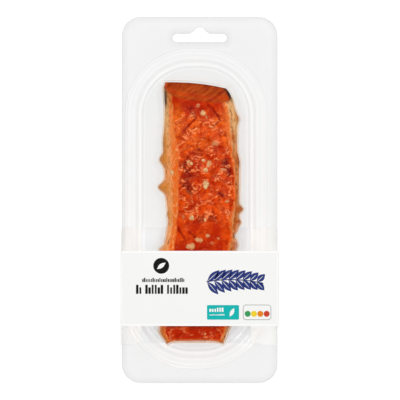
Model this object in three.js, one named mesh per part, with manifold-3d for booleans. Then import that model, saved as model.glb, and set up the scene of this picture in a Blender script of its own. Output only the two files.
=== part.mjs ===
// A hot smoked salmon fillet in a clear stepped tray, under clinging film and with a paper sleeve around it.
// Millimetres, +Z up. The pack lies on its back: X runs across it and +Y points to the hang hole.
// The origin is under the middle of the pack, on the plane that the sleeve rests on.
import * as THREE from "three";
import { mergeVertices } from "three/addons/utils/BufferGeometryUtils.js";
import Module from "manifold-3d";

const wasm = await Module();
wasm.setup();

// Thin sheets and the gap that is kept between pieces that touch
const PAPER = 0.35;
const GAP = 0.3;
const SHEET = 0.6;
const FILM = 0.3;
const FILM_GAP = 0.65;

// Heights, from the sleeve's back panel up to its front panel
const TRAY_BOTTOM = PAPER + GAP;
const FLOOR_TOP = TRAY_BOTTOM + SHEET;
const SKIN_BOTTOM = FLOOR_TOP + GAP;
const SKIN_THICK = 1.0;
const FLESH_BOTTOM = SKIN_BOTTOM + SKIN_THICK + GAP;
const FLANGE_TOP = 21.2;

// Tray: a flat flange with a hang hole above an off-centre recess
const PACK = { width: 96, length: 226, corner: 11.8 };
const HANG_HOLE = { y: 99.95, half: 16.8, round: 2.55, dome: 3.7, domeY: 102.9, flank: 5.9, blend: 1.6 };
const RECESS = { x: -2.35, y: -5.34, width: 87.3, length: 197.6, corner: 40.3 };
const CORNER_STEPS = 11;
const HOLE_STEPS = 5; // points on each curve of the hang hole

// Recess wall from the flange to the floor, as [inset from the recess edge, depth below the flange]:
// a rounded step, a ledge, the upper wall, a narrow ledge, the lower wall and the floor's round edge
const WALL = [
  [0, 0],
  [0.8, 0.3],
  [1.5, 1.2],
  [2.1, 2.3],
  [3.0, 2.9],
  [5.6, 3.1],
  [6.4, 3.9],
  [8.2, 10.2],
  [8.8, 11.0],
  [9.7, 11.2],
  [10.2, 12.0],
  [10.9, 18.4],
  [11.3, 19.4],
  [12.1, FLANGE_TOP - FLOOR_TOP],
];
const FLOOR_INSET = WALL[WALL.length - 1][0];

// Fillet: the side edges in plan as [y, x], each with the lumps of set juice that stick out of it
const LEFT_EDGE = [
  [73.8, -21.5],
  [70.8, -22.4],
  [66, -22.2],
  [56.2, -21.8],
  [37.4, -22.4],
  [17.4, -21.8],
  [-0.1, -20.8],
  [-12.5, -19.7],
  [-22.6, -20.9],
  [-38.8, -23.5],
  [-62.5, -24.5],
  [-81.9, -26.1],
  [-86.3, -23.6],
  [-90.1, -20.3],
];
const RIGHT_EDGE = [
  [69.9, 16.6],
  [67.4, 18.5],
  [62.4, 20.7],
  [56.2, 22.3],
  [49.9, 23.4],
  [31.2, 23.5],
  [21.8, 24.6],
  [3, 24.6],
  [-17.6, 24],
  [-30.4, 22.5],
  [-50, 21.2],
  [-68.8, 19.6],
  [-77.5, 20],
  [-81.9, 18.3],
  [-86.3, 16.9],
  [-89.9, 15],
];
const LEFT_LUMPS = [
  { y: 36, out: 0.6, size: 6.5 },
  { y: 25.2, out: 2.9, size: 3.6 },
  { y: 8, out: 4.6, size: 3.3 },
  { y: -9.6, out: 0.6, size: 2 },
  { y: -31.2, out: 2.8, size: 2.8 },
];
const RIGHT_LUMPS = [
  { y: 51.1, out: 1.2, size: 3.4 },
  { y: 24.5, out: 0.6, size: 4 },
  { y: -5.7, out: 2.7, size: 2.3 },
  { y: -14, out: 1.6, size: 2.3 },
  { y: -22.3, out: -1.6, size: 2.2 },
  { y: -28.6, out: 1.1, size: 2.6 },
];

// Fillet: thickness, section and the two cuts. The head cut leans outwards and sweeps back to the right, and
// the tail cut is hollow between a lobe at each corner.
const THICKNESS = 16.6;
const END_THINNING = 1.6;
const SIDE_ROUND = { left: 0.83, right: 0.56 }; // exponent of the section: 1 is an ellipse, less is boxier
const HEAD_CUT = { edgeY: 63.1, lean: 0.713, sweep: 4, sweepPower: 2.5, grow: 0.6, pullPower: 4 };
const TAIL_CUT = {
  edgeY: -87.4,
  lean: 0.2,
  lobe: 3.5,
  lobePower: 6,
  tuck: 2.3,
  grow: 1.15,
  pullPower: 10,
  curlPower: 1.6,
};
const TAIL_ROUND = { round: 0.35, power: 14 }; // the section grows boxier towards the tail cut
const CUT_LEVELS = [0, 0.085, 0.34, 0.62, 0.83, 0.95];

// Flakes of the flesh: V-shaped seams, a slow swell and a few raised pale bits, as [x, y, radius]
const FLAKES = { pitch: 9.5, slope: 0.55, ridgeX: 3, seam: 1.3, depth: 0.55 };
const SWELL = { depth: 0.35, acrossLength: 17, alongLength: 29 };
const PALE_BITS = [
  [3.8, 9.4, 1.9],
  [2.2, 53.8, 1.5],
  [3.8, 18.8, 1.4],
  [-4.8, -11, 1.5],
  [-5.5, -28.6, 1.8],
];
const PALE_BIT_RISE = 0.4;

const FILLET_GRID = { across: 20, along: 56 };
const END_STRIPS = 2; // strips of the flat underside that close over a cut
const BRIM = 3.2; // film left flat on the floor around the fillet

// Sleeve: a front panel that is shorter than the back panel, with both folded round the flange's edges
const SLEEVE = { frontTop: -31.4, frontBottom: -77.7, backTop: -17.1, backBottom: -89.8 };
const SLEEVE_SIDE = PACK.width / 2 + GAP;
const SLEEVE_FOLD = 20.4; // where the sides turn in under the flange
const SLEEVE_BACK = { left: -36.6, right: 31.9 };
const SLEEVE_MITRE = 0.55; // how far a fold's corner moves along the slanted side, for each mm of growth

const lerp = THREE.MathUtils.lerp;
const clamp = THREE.MathUtils.clamp;

// Triangles of one closed surface, gathered vertex by vertex
class Surface {
  constructor() {
    this.points = [];
    this.faces = [];
  }

  add(points) {
    const first = this.points.length;
    this.points.push(...points);
    return points.map((_, i) => first + i);
  }

  // Quads between two closed loops with the same number of vertices
  bridge(lower, upper) {
    lower.forEach((a, i) => {
      const j = (i + 1) % lower.length;
      this.faces.push([a, lower[j], upper[j]], [a, upper[j], upper[i]]);
    });
  }

  // Quads over rows of vertices, facing up where the rows run along Y and each row along X
  cover(rows, facingUp) {
    for (let r = 0; r + 1 < rows.length; r++) {
      for (let c = 0; c + 1 < rows[r].length; c++) {
        const [a, b, d, e] = [rows[r][c], rows[r][c + 1], rows[r + 1][c + 1], rows[r + 1][c]];
        const quad = facingUp ? [[a, b, d], [a, d, e]] : [[a, d, b], [a, e, d]];
        this.faces.push(...quad.filter((face) => new Set(face).size === 3));
      }
    }
  }

  // Flat face inside one loop, outside the loops of its holes
  fill(loop, holes, facingUp) {
    const flat = (ids) => ids.map((i) => new THREE.Vector2(this.points[i].x, this.points[i].y));
    const ids = [...loop, ...holes.flat()];
    for (const [a, b, c] of THREE.ShapeUtils.triangulateShape(flat(loop), holes.map(flat))) {
      this.faces.push(facingUp ? [ids[a], ids[b], ids[c]] : [ids[a], ids[c], ids[b]]);
    }
  }

  geometry() {
    const made = new THREE.BufferGeometry();
    const numbers = this.points.flatMap((p) => p.toArray());
    made.setAttribute("position", new THREE.Float32BufferAttribute(numbers, 3));
    made.setIndex(this.faces.flat());
    made.computeVertexNormals();
    return made;
  }
}

// Closed loop on a rounded rectangle, counter-clockwise, with the arcs' centres kept at every inset
function roundedLoop({ x = 0, y = 0, width, length, corner }, inset, z) {
  const radius = corner - inset;
  const points = [];
  for (let quarter = 0; quarter < 4; quarter++) {
    const sideX = quarter === 0 || quarter === 3 ? 1 : -1;
    const sideY = quarter < 2 ? 1 : -1;
    const middleX = x + sideX * (width / 2 - corner);
    const middleY = y + sideY * (length / 2 - corner);
    for (let i = 0; i <= CORNER_STEPS; i++) {
      const angle = ((quarter + i / CORNER_STEPS) * Math.PI) / 2;
      const [away, along] = [radius * Math.cos(angle), radius * Math.sin(angle)];
      points.push(new THREE.Vector3(middleX + away, middleY + along, z));
    }
  }
  return points;
}

// Hang hole: a slot with round ends and a dome over its middle, counter-clockwise
function hangHoleLoop(z) {
  const { y, half, round, dome, domeY, flank, blend } = HANG_HOLE;
  const shoulder = Math.PI / 8; // where the dome's arc starts, above the horizontal
  const shape = new THREE.Path();
  shape.absarc(half - round, y, round, -Math.PI / 2, Math.PI / 2, false);
  shape.lineTo(flank + blend, y + round);
  shape.quadraticCurveTo(flank, y + round, flank - blend / 2, y + round + blend / 2);
  shape.absarc(0, domeY, dome, shoulder, Math.PI - shoulder, false);
  shape.lineTo(-flank + blend / 2, y + round + blend / 2);
  shape.quadraticCurveTo(-flank, y + round, -flank - blend, y + round);
  shape.absarc(-half + round, y, round, Math.PI / 2, (3 * Math.PI) / 2, false);
  return shape.getPoints(HOLE_STEPS).map((p) => new THREE.Vector3(p.x, p.y, z));
}

// The wall's profile moved out through the sheet's thickness, at right angles to it
function backOfWall() {
  return WALL.map(([inset, depth], i) => {
    const before = WALL[Math.max(i - 1, 0)];
    const after = WALL[Math.min(i + 1, WALL.length - 1)];
    const along = new THREE.Vector2(after[0] - before[0], after[1] - before[1]).normalize();
    const isEnd = i === 0 || i === WALL.length - 1;
    if (isEnd) along.set(1, 0);
    return [inset - SHEET * along.y, depth + SHEET * along.x];
  });
}

// Tray: flange, hang hole, recess wall and floor as one sheet, with a top side and a back side
function trayGeometry() {
  const surface = new Surface();
  const side = (wall, z, facingUp) => {
    const edge = surface.add(roundedLoop(PACK, 0, z));
    const hole = surface.add(hangHoleLoop(z));
    const rings = wall.map(([inset, depth]) => surface.add(roundedLoop(RECESS, inset, FLANGE_TOP - depth)));
    surface.fill(edge, [hole, rings[0]], facingUp);
    for (let i = 0; i + 1 < rings.length; i++) {
      if (facingUp) surface.bridge(rings[i], rings[i + 1]);
      else surface.bridge(rings[i + 1], rings[i]);
    }
    surface.fill(rings[rings.length - 1], [], facingUp);
    return { edge, hole };
  };
  const top = side(WALL, FLANGE_TOP, true);
  const back = side(backOfWall(), FLANGE_TOP - SHEET, false);
  surface.bridge(back.edge, top.edge);
  surface.bridge(top.hole, back.hole);
  return surface.geometry();
}

// Smooth curve through [y, x] stations that run down in y: x at the given y, held at both ends
function edgeAt(stations, y) {
  const last = stations.length - 1;
  const slopeAt = (i) => {
    const [before, after] = [stations[Math.max(i - 1, 0)], stations[Math.min(i + 1, last)]];
    return (after[1] - before[1]) / (after[0] - before[0]);
  };
  const held = clamp(y, stations[last][0], stations[0][0]);
  const i = Math.max(stations.findIndex(([stationY]) => held >= stationY), 1);
  const [from, to] = [stations[i - 1], stations[i]];
  const run = to[0] - from[0];
  const part = (held - from[0]) / run;
  const bend = part * (1 - part) * run;
  const chord = (to[1] - from[1]) / run;
  const sway = bend * ((1 - part) * (slopeAt(i - 1) - chord) - part * (slopeAt(i) - chord));
  return lerp(from[1], to[1], part) + sway;
}

// Bell curve: 1 at no distance, 1/e at the given size
const bell = (distance, size) => Math.exp(-((distance / size) ** 2));

function lumpsAt(lumps, y) {
  return lumps.reduce((sum, lump) => sum + lump.out * bell(y - lump.y, lump.size), 0);
}

// Depth of the flesh's relief below the smooth fillet, at a place in plan
function reliefAt(x, y) {
  const { pitch, slope, ridgeX, seam, depth } = FLAKES;
  const phase = y + slope * Math.abs(x - ridgeX);
  const toSeam = Math.abs(phase - pitch * Math.round(phase / pitch));
  const groove = depth * bell(toSeam, seam);
  const wave = Math.sin((x * Math.PI) / SWELL.acrossLength) * Math.sin((y * Math.PI) / SWELL.alongLength);
  const swell = (SWELL.depth * (1 + wave)) / 2;
  const bits = PALE_BITS.map(([bitX, bitY, radius]) => bell(Math.hypot(x - bitX, y - bitY), radius));
  const rise = PALE_BIT_RISE * Math.max(...bits);
  return Math.max(groove + swell - rise, 0);
}

// How far the feet of the two cuts are carried along the body: place is 0 at the tail cut, 1 at the head cut
const headPull = (place) => place ** HEAD_CUT.pullPower;
const tailPull = (place) => (1 - place) ** TAIL_CUT.pullPower;

// A point of the fillet's surface, grown outwards by a margin, standing on the given base height.
// The section is a superellipse: round on the left side, boxier on the right and boxiest at the tail. On a
// cut, level is the share of the section's height that the point keeps. The head cut leans out to its foot.
// The tail cut curls in to its foot on all sides, which keeps it off the tray's wall, and its lobes fade out
// on the way down.
function filletPoint(place, across, level, { margin, base, withRelief }) {
  const angle = across * Math.PI;
  const sideRound = across < 0.5 ? SIDE_ROUND.left : SIDE_ROUND.right;
  const round = lerp(sideRound, TAIL_ROUND.round, (1 - place) ** TAIL_ROUND.power);
  const reach = -Math.sign(Math.cos(angle)) * Math.abs(Math.cos(angle)) ** round;
  const share = across === 0 || across === 1 ? 0 : Math.sin(angle) ** round;
  const fromLeft = (reach + 1) / 2;
  const drop = 1 - level * share;
  const thickness = THICKNESS - END_THINNING * (2 * place - 1) ** 2;
  const fullHeight = FLESH_BOTTOM - base + thickness + margin;

  const sweep = HEAD_CUT.sweep * fromLeft ** HEAD_CUT.sweepPower;
  const headEdge = HEAD_CUT.edgeY - sweep + margin * HEAD_CUT.grow;
  const curl = tailPull(place) * drop ** TAIL_CUT.curlPower;
  const lobe = TAIL_CUT.lobe * Math.abs(reach) ** TAIL_CUT.lobePower * (1 - curl);
  const tailEdge = TAIL_CUT.edgeY - lobe - margin * TAIL_CUT.grow;
  const depth = Math.min(fullHeight * drop, thickness + margin);
  const lean = HEAD_CUT.lean * headPull(place) * depth + TAIL_CUT.lean * curl * thickness;
  const y = lerp(tailEdge, headEdge, place) + lean;

  const tuck = TAIL_CUT.tuck * curl - margin;
  const low = 1 - share ** 2;
  const left = edgeAt(LEFT_EDGE, y) - lumpsAt(LEFT_LUMPS, y) * low + tuck;
  const right = edgeAt(RIGHT_EDGE, y) + lumpsAt(RIGHT_LUMPS, y) * low - tuck;
  const x = lerp(left, right, fromLeft);

  const relief = withRelief ? reliefAt(x, y) : 0;
  return new THREE.Vector3(x, y, base + (fullHeight - relief) * share * level);
}

// Rows of vertices over the fillet, from the foot of the tail cut to the foot of the head cut.
// All rows of a cut meet the sides at the same two vertices.
function filletSheet(surface, form) {
  const { across, along } = FILLET_GRID;
  const steps = Array.from({ length: across + 1 }, (_, i) => i / across);
  const body = [];
  for (let i = 0; i <= along; i++) {
    body.push(surface.add(steps.map((step) => filletPoint(i / along, step, 1, form))));
  }
  const cutRow = (place, level, side) => {
    const inner = steps.slice(1, across).map((step) => filletPoint(place, step, level, form));
    return [side[0], ...surface.add(inner), side[across]];
  };
  const tail = CUT_LEVELS.map((level) => cutRow(0, level, body[0]));
  const head = CUT_LEVELS.toReversed().map((level) => cutRow(1, level, body[along]));
  return [...tail, ...body, ...head];
}

// Flat face over the foot of a fillet sheet: strips across the body, and an outline closed over each cut
function fillFoot(surface, rows, facingUp) {
  const first = CUT_LEVELS.length + END_STRIPS;
  const last = CUT_LEVELS.length + FILLET_GRID.along - END_STRIPS;
  const { across } = FILLET_GRID;
  const sidesOf = (row) => [row[0], row[across]];
  surface.cover(rows.slice(first, last + 1).map(sidesOf), facingUp);
  const tailSides = rows.slice(CUT_LEVELS.length + 1, first + 1).map(sidesOf);
  const headSides = rows.slice(last, last + END_STRIPS).map(sidesOf);
  const lefts = (sides) => sides.map(([left]) => left);
  const rights = (sides) => sides.map(([, right]) => right);
  surface.fill([...rows[0], ...rights(tailSides), ...lefts(tailSides).toReversed()], [], facingUp);
  const headRow = rows[rows.length - 1].toReversed();
  surface.fill([...rights(headSides), ...headRow, ...lefts(headSides).toReversed()], [], facingUp);
}

// The foot of a fillet sheet, counter-clockwise
function footLoop(rows) {
  const cuts = CUT_LEVELS.length;
  const { across, along } = FILLET_GRID;
  const sides = rows.slice(cuts + 1, cuts + along);
  const rightSide = sides.map((row) => row[across]);
  const leftSide = sides.map((row) => row[0]).toReversed();
  return [...rows[0], ...rightSide, ...rows[rows.length - 1].toReversed(), ...leftSide];
}

function fleshGeometry() {
  const surface = new Surface();
  const rows = filletSheet(surface, { margin: 0, base: FLESH_BOTTOM, withRelief: true });
  surface.cover(rows, true);
  fillFoot(surface, rows, false);
  return surface.geometry();
}

// Skin of the fish: a layer under the flesh with the same outline
function skinGeometry() {
  const flesh = new Surface();
  const rows = filletSheet(flesh, { margin: 0, base: FLESH_BOTTOM });
  const layer = new Surface();
  const faceAt = (z, facingUp) => {
    const added = new Map();
    for (const i of footLoop(rows)) {
      const { x, y } = flesh.points[i];
      added.set(i, layer.add([new THREE.Vector3(x, y, z)])[0]);
    }
    fillFoot(layer, rows.map((row) => row.map((i) => added.get(i))), facingUp);
    return [...added.values()];
  };
  layer.bridge(faceAt(SKIN_BOTTOM, false), faceAt(SKIN_BOTTOM + SKIN_THICK, true));
  return layer.geometry();
}

// Move a point in, if need be, so that it keeps inside the tray's flat floor
function keepOnFloor(x, y) {
  const radius = RECESS.corner - FLOOR_INSET - GAP;
  const [reachX, reachY] = [RECESS.width / 2 - RECESS.corner, RECESS.length / 2 - RECESS.corner];
  const middleX = clamp(x, RECESS.x - reachX, RECESS.x + reachX);
  const middleY = clamp(y, RECESS.y - reachY, RECESS.y + reachY);
  const away = Math.hypot(x - middleX, y - middleY);
  const share = away > radius ? radius / away : 1;
  return [middleX + (x - middleX) * share, middleY + (y - middleY) * share];
}

// Outline of the film's flat brim: the foot pushed out by the brim's width and kept on the floor
function brimLoop(foot, z) {
  return foot.map((p, i) => {
    const before = foot[(i + foot.length - 2) % foot.length];
    const after = foot[(i + 2) % foot.length];
    const out = new THREE.Vector2(after.y - before.y, before.x - after.x).normalize();
    const [x, y] = keepOnFloor(p.x + out.x * BRIM, p.y + out.y * BRIM);
    return new THREE.Vector3(x, y, z);
  });
}

// Film that clings to the fillet, with a brim on the tray's floor
function filmGeometry() {
  const surface = new Surface();
  const outerRows = filletSheet(surface, { margin: FILM_GAP + FILM, base: SKIN_BOTTOM + FILM });
  const innerRows = filletSheet(surface, { margin: FILM_GAP, base: SKIN_BOTTOM });
  const outerFoot = footLoop(outerRows);
  const innerFoot = footLoop(innerRows);
  const foot = outerFoot.map((i) => surface.points[i]);
  const brimTop = surface.add(brimLoop(foot, SKIN_BOTTOM + FILM));
  const brimBottom = surface.add(brimLoop(foot, SKIN_BOTTOM));
  surface.cover(outerRows, true);
  surface.cover(innerRows, false);
  surface.bridge(brimTop, outerFoot);
  surface.bridge(brimBottom, brimTop);
  surface.bridge(innerFoot, brimBottom);
  return surface.geometry();
}

function solidOf(geometry) {
  const bare = geometry.clone();
  bare.deleteAttribute("normal");
  bare.deleteAttribute("uv");
  const merged = mergeVertices(bare);
  const vertProperties = merged.attributes.position.array;
  const triVerts = new Uint32Array(merged.index.array);
  return new wasm.Manifold(new wasm.Mesh({ numProp: 3, vertProperties, triVerts }));
}

function geometryOf(solid) {
  const mesh = solid.getMesh();
  const made = new THREE.BufferGeometry();
  made.setAttribute("position", new THREE.BufferAttribute(mesh.vertProperties, 3));
  made.setIndex(new THREE.BufferAttribute(mesh.triVerts, 1));
  made.computeVertexNormals();
  return made;
}

// Closed section of the sleeve, grown outwards by a margin from its inner face
function sleeveSection(margin) {
  const top = FLANGE_TOP + GAP + margin;
  const side = SLEEVE_SIDE + margin;
  const back = PAPER - margin;
  const lean = margin * SLEEVE_MITRE;
  return [
    [-side, top],
    [-side, SLEEVE_FOLD - lean],
    [SLEEVE_BACK.left - lean, back],
    [SLEEVE_BACK.right + lean, back],
    [side, SLEEVE_FOLD - lean],
    [side, top],
  ].map(([x, z]) => new THREE.Vector2(x, z));
}

function boxSolid(xFrom, xTo, yFrom, yTo, zFrom, zTo) {
  const box = new THREE.BoxGeometry(xTo - xFrom, yTo - yFrom, zTo - zFrom);
  box.translate((xFrom + xTo) / 2, (yFrom + yTo) / 2, (zFrom + zTo) / 2);
  return solidOf(box);
}

// Sleeve: a closed band as tall as its back panel, with the front and the right fold cut shorter
function sleeveGeometry() {
  const section = new THREE.Shape(sleeveSection(PAPER));
  section.holes.push(new THREE.Path(sleeveSection(0)));
  const tall = SLEEVE.backTop - SLEEVE.backBottom;
  const band = new THREE.ExtrudeGeometry(section, { depth: tall, bevelEnabled: false });
  band.rotateX(Math.PI / 2);
  band.translate(0, SLEEVE.backTop, 0);
  let solid = solidOf(band);
  const beyond = 5;
  const [outside, above] = [SLEEVE_SIDE + beyond, FLANGE_TOP + beyond];
  const spans = [
    [SLEEVE.frontTop, SLEEVE.backTop + beyond],
    [SLEEVE.backBottom - beyond, SLEEVE.frontBottom],
  ];
  for (const [from, to] of spans) {
    const front = boxSolid(-SLEEVE_SIDE, outside, from, to, FLANGE_TOP, above);
    const fold = boxSolid(PACK.width / 2, outside, from, to, SLEEVE_FOLD - GAP, above);
    solid = solid.subtract(front).subtract(fold);
  }
  return geometryOf(solid);
}

function finish(color, roughness, opacity = 1) {
  return new THREE.MeshStandardMaterial({ color, roughness, opacity, transparent: opacity < 1 });
}

const clearPlastic = finish(0xf2f3f3, 0.12, 0.35);
const clearFilm = finish(0xffffff, 0.08, 0.25);
const paper = finish(0xf6f6f4, 0.7);
const smokedFlesh = finish(0xc9481a, 0.3);
const fishSkin = finish(0x4c3a28, 0.4);

const pieces = [
  ["tray", trayGeometry(), clearPlastic],
  ["skin_film", filmGeometry(), clearFilm],
  ["salmon_flesh", fleshGeometry(), smokedFlesh],
  ["salmon_skin", skinGeometry(), fishSkin],
  ["paper_sleeve", sleeveGeometry(), paper],
];

const pack = new THREE.Group();
for (const [name, geometry, material] of pieces) {
  const mesh = new THREE.Mesh(geometry, material);
  mesh.name = name;
  pack.add(mesh);
}

export default pack;
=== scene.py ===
"""A hot smoked salmon fillet in a clear skin pack with a printed paper sleeve.

Laid out as an add-on: each operator makes one piece of the pack around the packed solids.
Sizes inside the functions are in millimetres, and fill_mesh turns them into metres.
"""

import math

import bpy
import numpy as np
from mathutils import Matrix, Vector
from mathutils.geometry import tessellate_polygon


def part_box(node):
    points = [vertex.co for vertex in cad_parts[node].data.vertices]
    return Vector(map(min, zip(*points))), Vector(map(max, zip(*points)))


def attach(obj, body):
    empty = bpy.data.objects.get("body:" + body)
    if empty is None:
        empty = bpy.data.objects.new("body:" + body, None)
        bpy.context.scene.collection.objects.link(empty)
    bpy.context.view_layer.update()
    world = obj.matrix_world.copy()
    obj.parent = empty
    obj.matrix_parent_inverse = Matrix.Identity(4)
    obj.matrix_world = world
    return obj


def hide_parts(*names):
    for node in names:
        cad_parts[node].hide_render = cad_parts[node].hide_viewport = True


bl_info = {
    "name": "Smoked Fillet Pack",
    "version": (1, 0, 0),
    "blender": (4, 5, 0),
    "location": "View3D > Sidebar > Fillet Pack",
    "description": "Builds a smoked fillet in a clear skin pack with a paper sleeve",
    "category": "Add Mesh",
}

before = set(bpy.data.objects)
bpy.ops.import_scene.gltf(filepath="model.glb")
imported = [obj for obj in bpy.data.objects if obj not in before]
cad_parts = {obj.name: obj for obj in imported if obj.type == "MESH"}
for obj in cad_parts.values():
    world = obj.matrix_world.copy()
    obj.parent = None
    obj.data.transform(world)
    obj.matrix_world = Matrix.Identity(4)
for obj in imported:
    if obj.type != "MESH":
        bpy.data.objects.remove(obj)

MM = 0.001
BODY = "root"


def span(node):
    """Lowest and highest corner of a solid of the frame, in millimetres."""
    low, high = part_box(node)
    return np.array(low) / MM, np.array(high) / MM


# Heights and sheets, in millimetres: the frame gives what stands on what
TRAY_LOW, TRAY_HIGH = span("tray")
SLEEVE_LOW, SLEEVE_HIGH = span("paper_sleeve")
SHEET = 0.6
PAPER = 0.35
FILM = 0.3
FILM_GAP = 0.65
GAP = 0.3
FLANGE_TOP = TRAY_HIGH[2]
FLOOR_TOP = TRAY_LOW[2] + SHEET
SKIN_BOTTOM = span("salmon_skin")[0][2]
SKIN_TOP = span("salmon_skin")[1][2]
FLESH_BOTTOM = span("salmon_flesh")[0][2]

# Tray: the flange, its hang hole and the recess
PACK = {"x": 0, "y": 0, "width": 96, "length": 226, "corner": 11.8}
RECESS = {"x": -2.35, "y": -5.34, "width": 87.3, "length": 197.6, "corner": 40.3}
HANG_HOLE = {
    "y": 99.95, "half": 16.8, "round": 2.55, "dome": 3.7, "dome_y": 102.9, "flank": 5.9, "blend": 1.6,
    "shoulder": math.pi / 8,
}
WALL = [
    (0, 0), (0.8, 0.3), (1.5, 1.2), (2.1, 2.3), (3.0, 2.9), (5.6, 3.1), (6.4, 3.9), (8.2, 10.2),
    (8.8, 11.0), (9.7, 11.2), (10.2, 12.0), (10.9, 18.4), (11.3, 19.4), (12.1, FLANGE_TOP - FLOOR_TOP),
]
WALL_TURN = 1.1
CORNER_STEPS = 40
HOLE_STEPS = {"end": 13, "bend": 7, "dome": 21}
EDGE_RINGS = (0, 0.15, 0.5, 1.0)
FLAT_RINGS = (0.7, 0.3)
# How far in from the cut edges the painted shade fades
EDGE_SHADE_FADE = 5.0

# Fillet: side edges in plan as (y, x), lumps of set juice as (y, out, size), section, cuts and grids
LEFT_EDGE = [
    (73.8, -21.5), (70.8, -22.4), (66, -22.2), (56.2, -21.8), (37.4, -22.4), (17.4, -21.8),
    (-0.1, -20.8), (-12.5, -19.7), (-22.6, -20.9), (-38.8, -23.5), (-62.5, -24.5), (-81.9, -26.1),
    (-86.3, -23.6), (-90.1, -20.3),
]
RIGHT_EDGE = [
    (69.9, 16.6), (67.4, 18.5), (62.4, 20.7), (56.2, 22.3), (49.9, 23.4), (31.2, 23.5),
    (21.8, 24.6), (3, 24.6), (-17.6, 24), (-30.4, 22.5), (-50, 21.2), (-68.8, 19.6),
    (-77.5, 20), (-81.9, 18.3), (-86.3, 16.9), (-89.9, 15),
]
LEFT_LUMPS = [(36, 0.6, 6.5), (25.2, 2.9, 3.6), (8, 4.6, 3.3), (-9.6, 0.6, 2), (-31.2, 2.8, 2.8)]
RIGHT_LUMPS = [
    (51.1, 1.2, 3.4), (24.5, 0.6, 4), (-5.7, 2.7, 2.3), (-14, 1.6, 2.3), (-22.3, -1.6, 2.2),
    (-28.6, 1.1, 2.6),
]
THICKNESS = 16.6
END_THINNING = 1.6
SIDE_ROUND = {"left": 0.83, "right": 0.56}
HEAD_CUT = {"edge_y": 63.1, "lean": 0.713, "sweep": 4, "sweep_power": 2.5, "grow": 0.6, "pull_power": 4}
TAIL_CUT = {"edge_y": -87.4, "lean": 0.2, "lobe": 3.5, "lobe_power": 6, "tuck": 2.3, "grow": 1.15}
TAIL_CURL = {"pull_power": 10, "curl_power": 1.6, "round": 0.35, "round_power": 14}
FILLET_GRID = {"across": 176, "along": 372, "tail": 16, "head": 34}
FILM_GRID = {"across": 120, "along": 240, "tail": 12, "head": 22}

# Film: the brim, with how many points along its direction is taken, the crinkles, and the ends along Y where
# its foot carries a pale painted halo
BRIM = {"start": 0.15, "width": 3.2, "reach": 6}
CRINKLE = {"size": 2.4, "height": 0.25, "flat": 3}
FOOT_HEAD = (60, 64)
FOOT_TAIL = (-76, -80)

# Flesh: widths of the paler side bands in plan as (y, width), cracks as lines of (x, y), and spots
LEFT_BAND = [
    (61.8, 4.3), (55.6, 4.6), (43.2, 5.6), (30.8, 8), (9.2, 7.4), (-0.1, 6.8), (-12.4, 4.9), (-31, 5.6),
    (-80.4, 4.2),
]
RIGHT_BAND = [
    (61.8, 5.6), (43.2, 5.3), (30.8, 3.7), (18.5, 2.8), (-0.1, 1.9), (-12.4, 4.9), (-21.7, 3.1), (-31, 4.3),
    (-80.4, 3.1),
]
CRACKS = [
    [(-8, 57.5), (-2.3, 50.8), (-10.2, 42.9)],
    [(5, 58.7), (8.3, 56.2), (10.8, 52.8), (12.8, 49.6), (8, 45.4)],
    [(-15.2, -16.1), (-12.8, -19.2), (-9.4, -23.9)],
    [(-6.3, -19.8), (-2.9, -23.2)],
    [(-14, 24), (-9.5, 20), (-6, 14.8)],
    [(16.5, 25), (18.2, 17)],
]
CRACK = {"width": 0.65, "depth": 0.6}
SEARED_SPOTS = [
    (-4.7, 56.8, 2), (-0.4, 30.2, 2.4), (-7.8, 24.7, 3), (-7.2, 17.9, 3.4), (16.3, 24, 3), (17.8, 16.6, 2.6),
    (-4.1, 6.1, 2.6), (13.5, 2.4, 2.6), (0.2, -11.8, 2.6), (7.6, -10.6, 2.6), (-9, 9, 3),
]
# Broad lighter and darker parts of the flesh, as (x, y, size, change of tone); the first two lighter ones are
# painted highlight where the wet shine clusters
TONE_PATCHES = [
    (-5.8, 49.6, 3, 0.8), (2.5, 44, 4.5, 0.6), (10.8, 38, 3.5, 0.5), (10.8, -6, 3, 0.6),
    (5, 33, 4, -0.8), (-0.3, 21.5, 3, -0.6), (-0.3, 4, 2.5, -0.8), (-11.4, 56, 3, -0.6),
    (16.4, 55, 2.8, -0.9), (-0.3, 56, 2.8, -0.6), (10.8, 13.5, 3.5, -0.6), (16, -2, 3.5, 0.6),
    (-11.5, -12, 4, 0.6), (16, -22, 3, 0.2),
]
# Parts of the flesh along Y, each from where it starts to where it is full, or as a middle and a size
HEAD_SIDE = (26, 44)
HEAD_BROWN = (54, 62)
BROW = (60, 4.2)
LOW_SHADE = (-9, -20)
SLEEVE_SHADE = (-27, 4)
TAIL_END = (-76, -82)
TAIL_SIDE = (-72, -80)
SKIN_EDGE = {"left": (63, 5), "right": (66, 4.5), "below": 16, "foot": (60, 62)}
RUST_RUN = {"from": (-26, -18), "to": (16, 6)}
RUST_SPOT = (39, 3.5)
BRIGHT_RUN = {"from": (26, 36), "to": (57, 50)}
# Shoulders lighter along their length, partly paler flesh and partly painted highlight, as (x, size, where it
# starts and is full along Y, share), and where they fade at the head
LIT_SHOULDERS = [(-14, 3, (30, 42), 1), (16, 3, (30, 50), 0.5)]
LIT_SHOULDER_END = (63, 55)
# Where a patch of stronger painted highlight lies on the crests, as (x, size) and (y, size)
HIGHLIGHT_SPOT = {"x": (3, 7), "y": (45, 3.5)}
WRINKLES = {"from": (-17.5, -9.5), "to": (59, 51), "depth": 0.45}
FLAKES = {"pitch": 9.5, "slope": 0.55, "ridge_x": 3, "seam": 1.3, "depth": 0.3}
SWELL = {"depth": 0.35, "across": 17, "along": 29}

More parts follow.
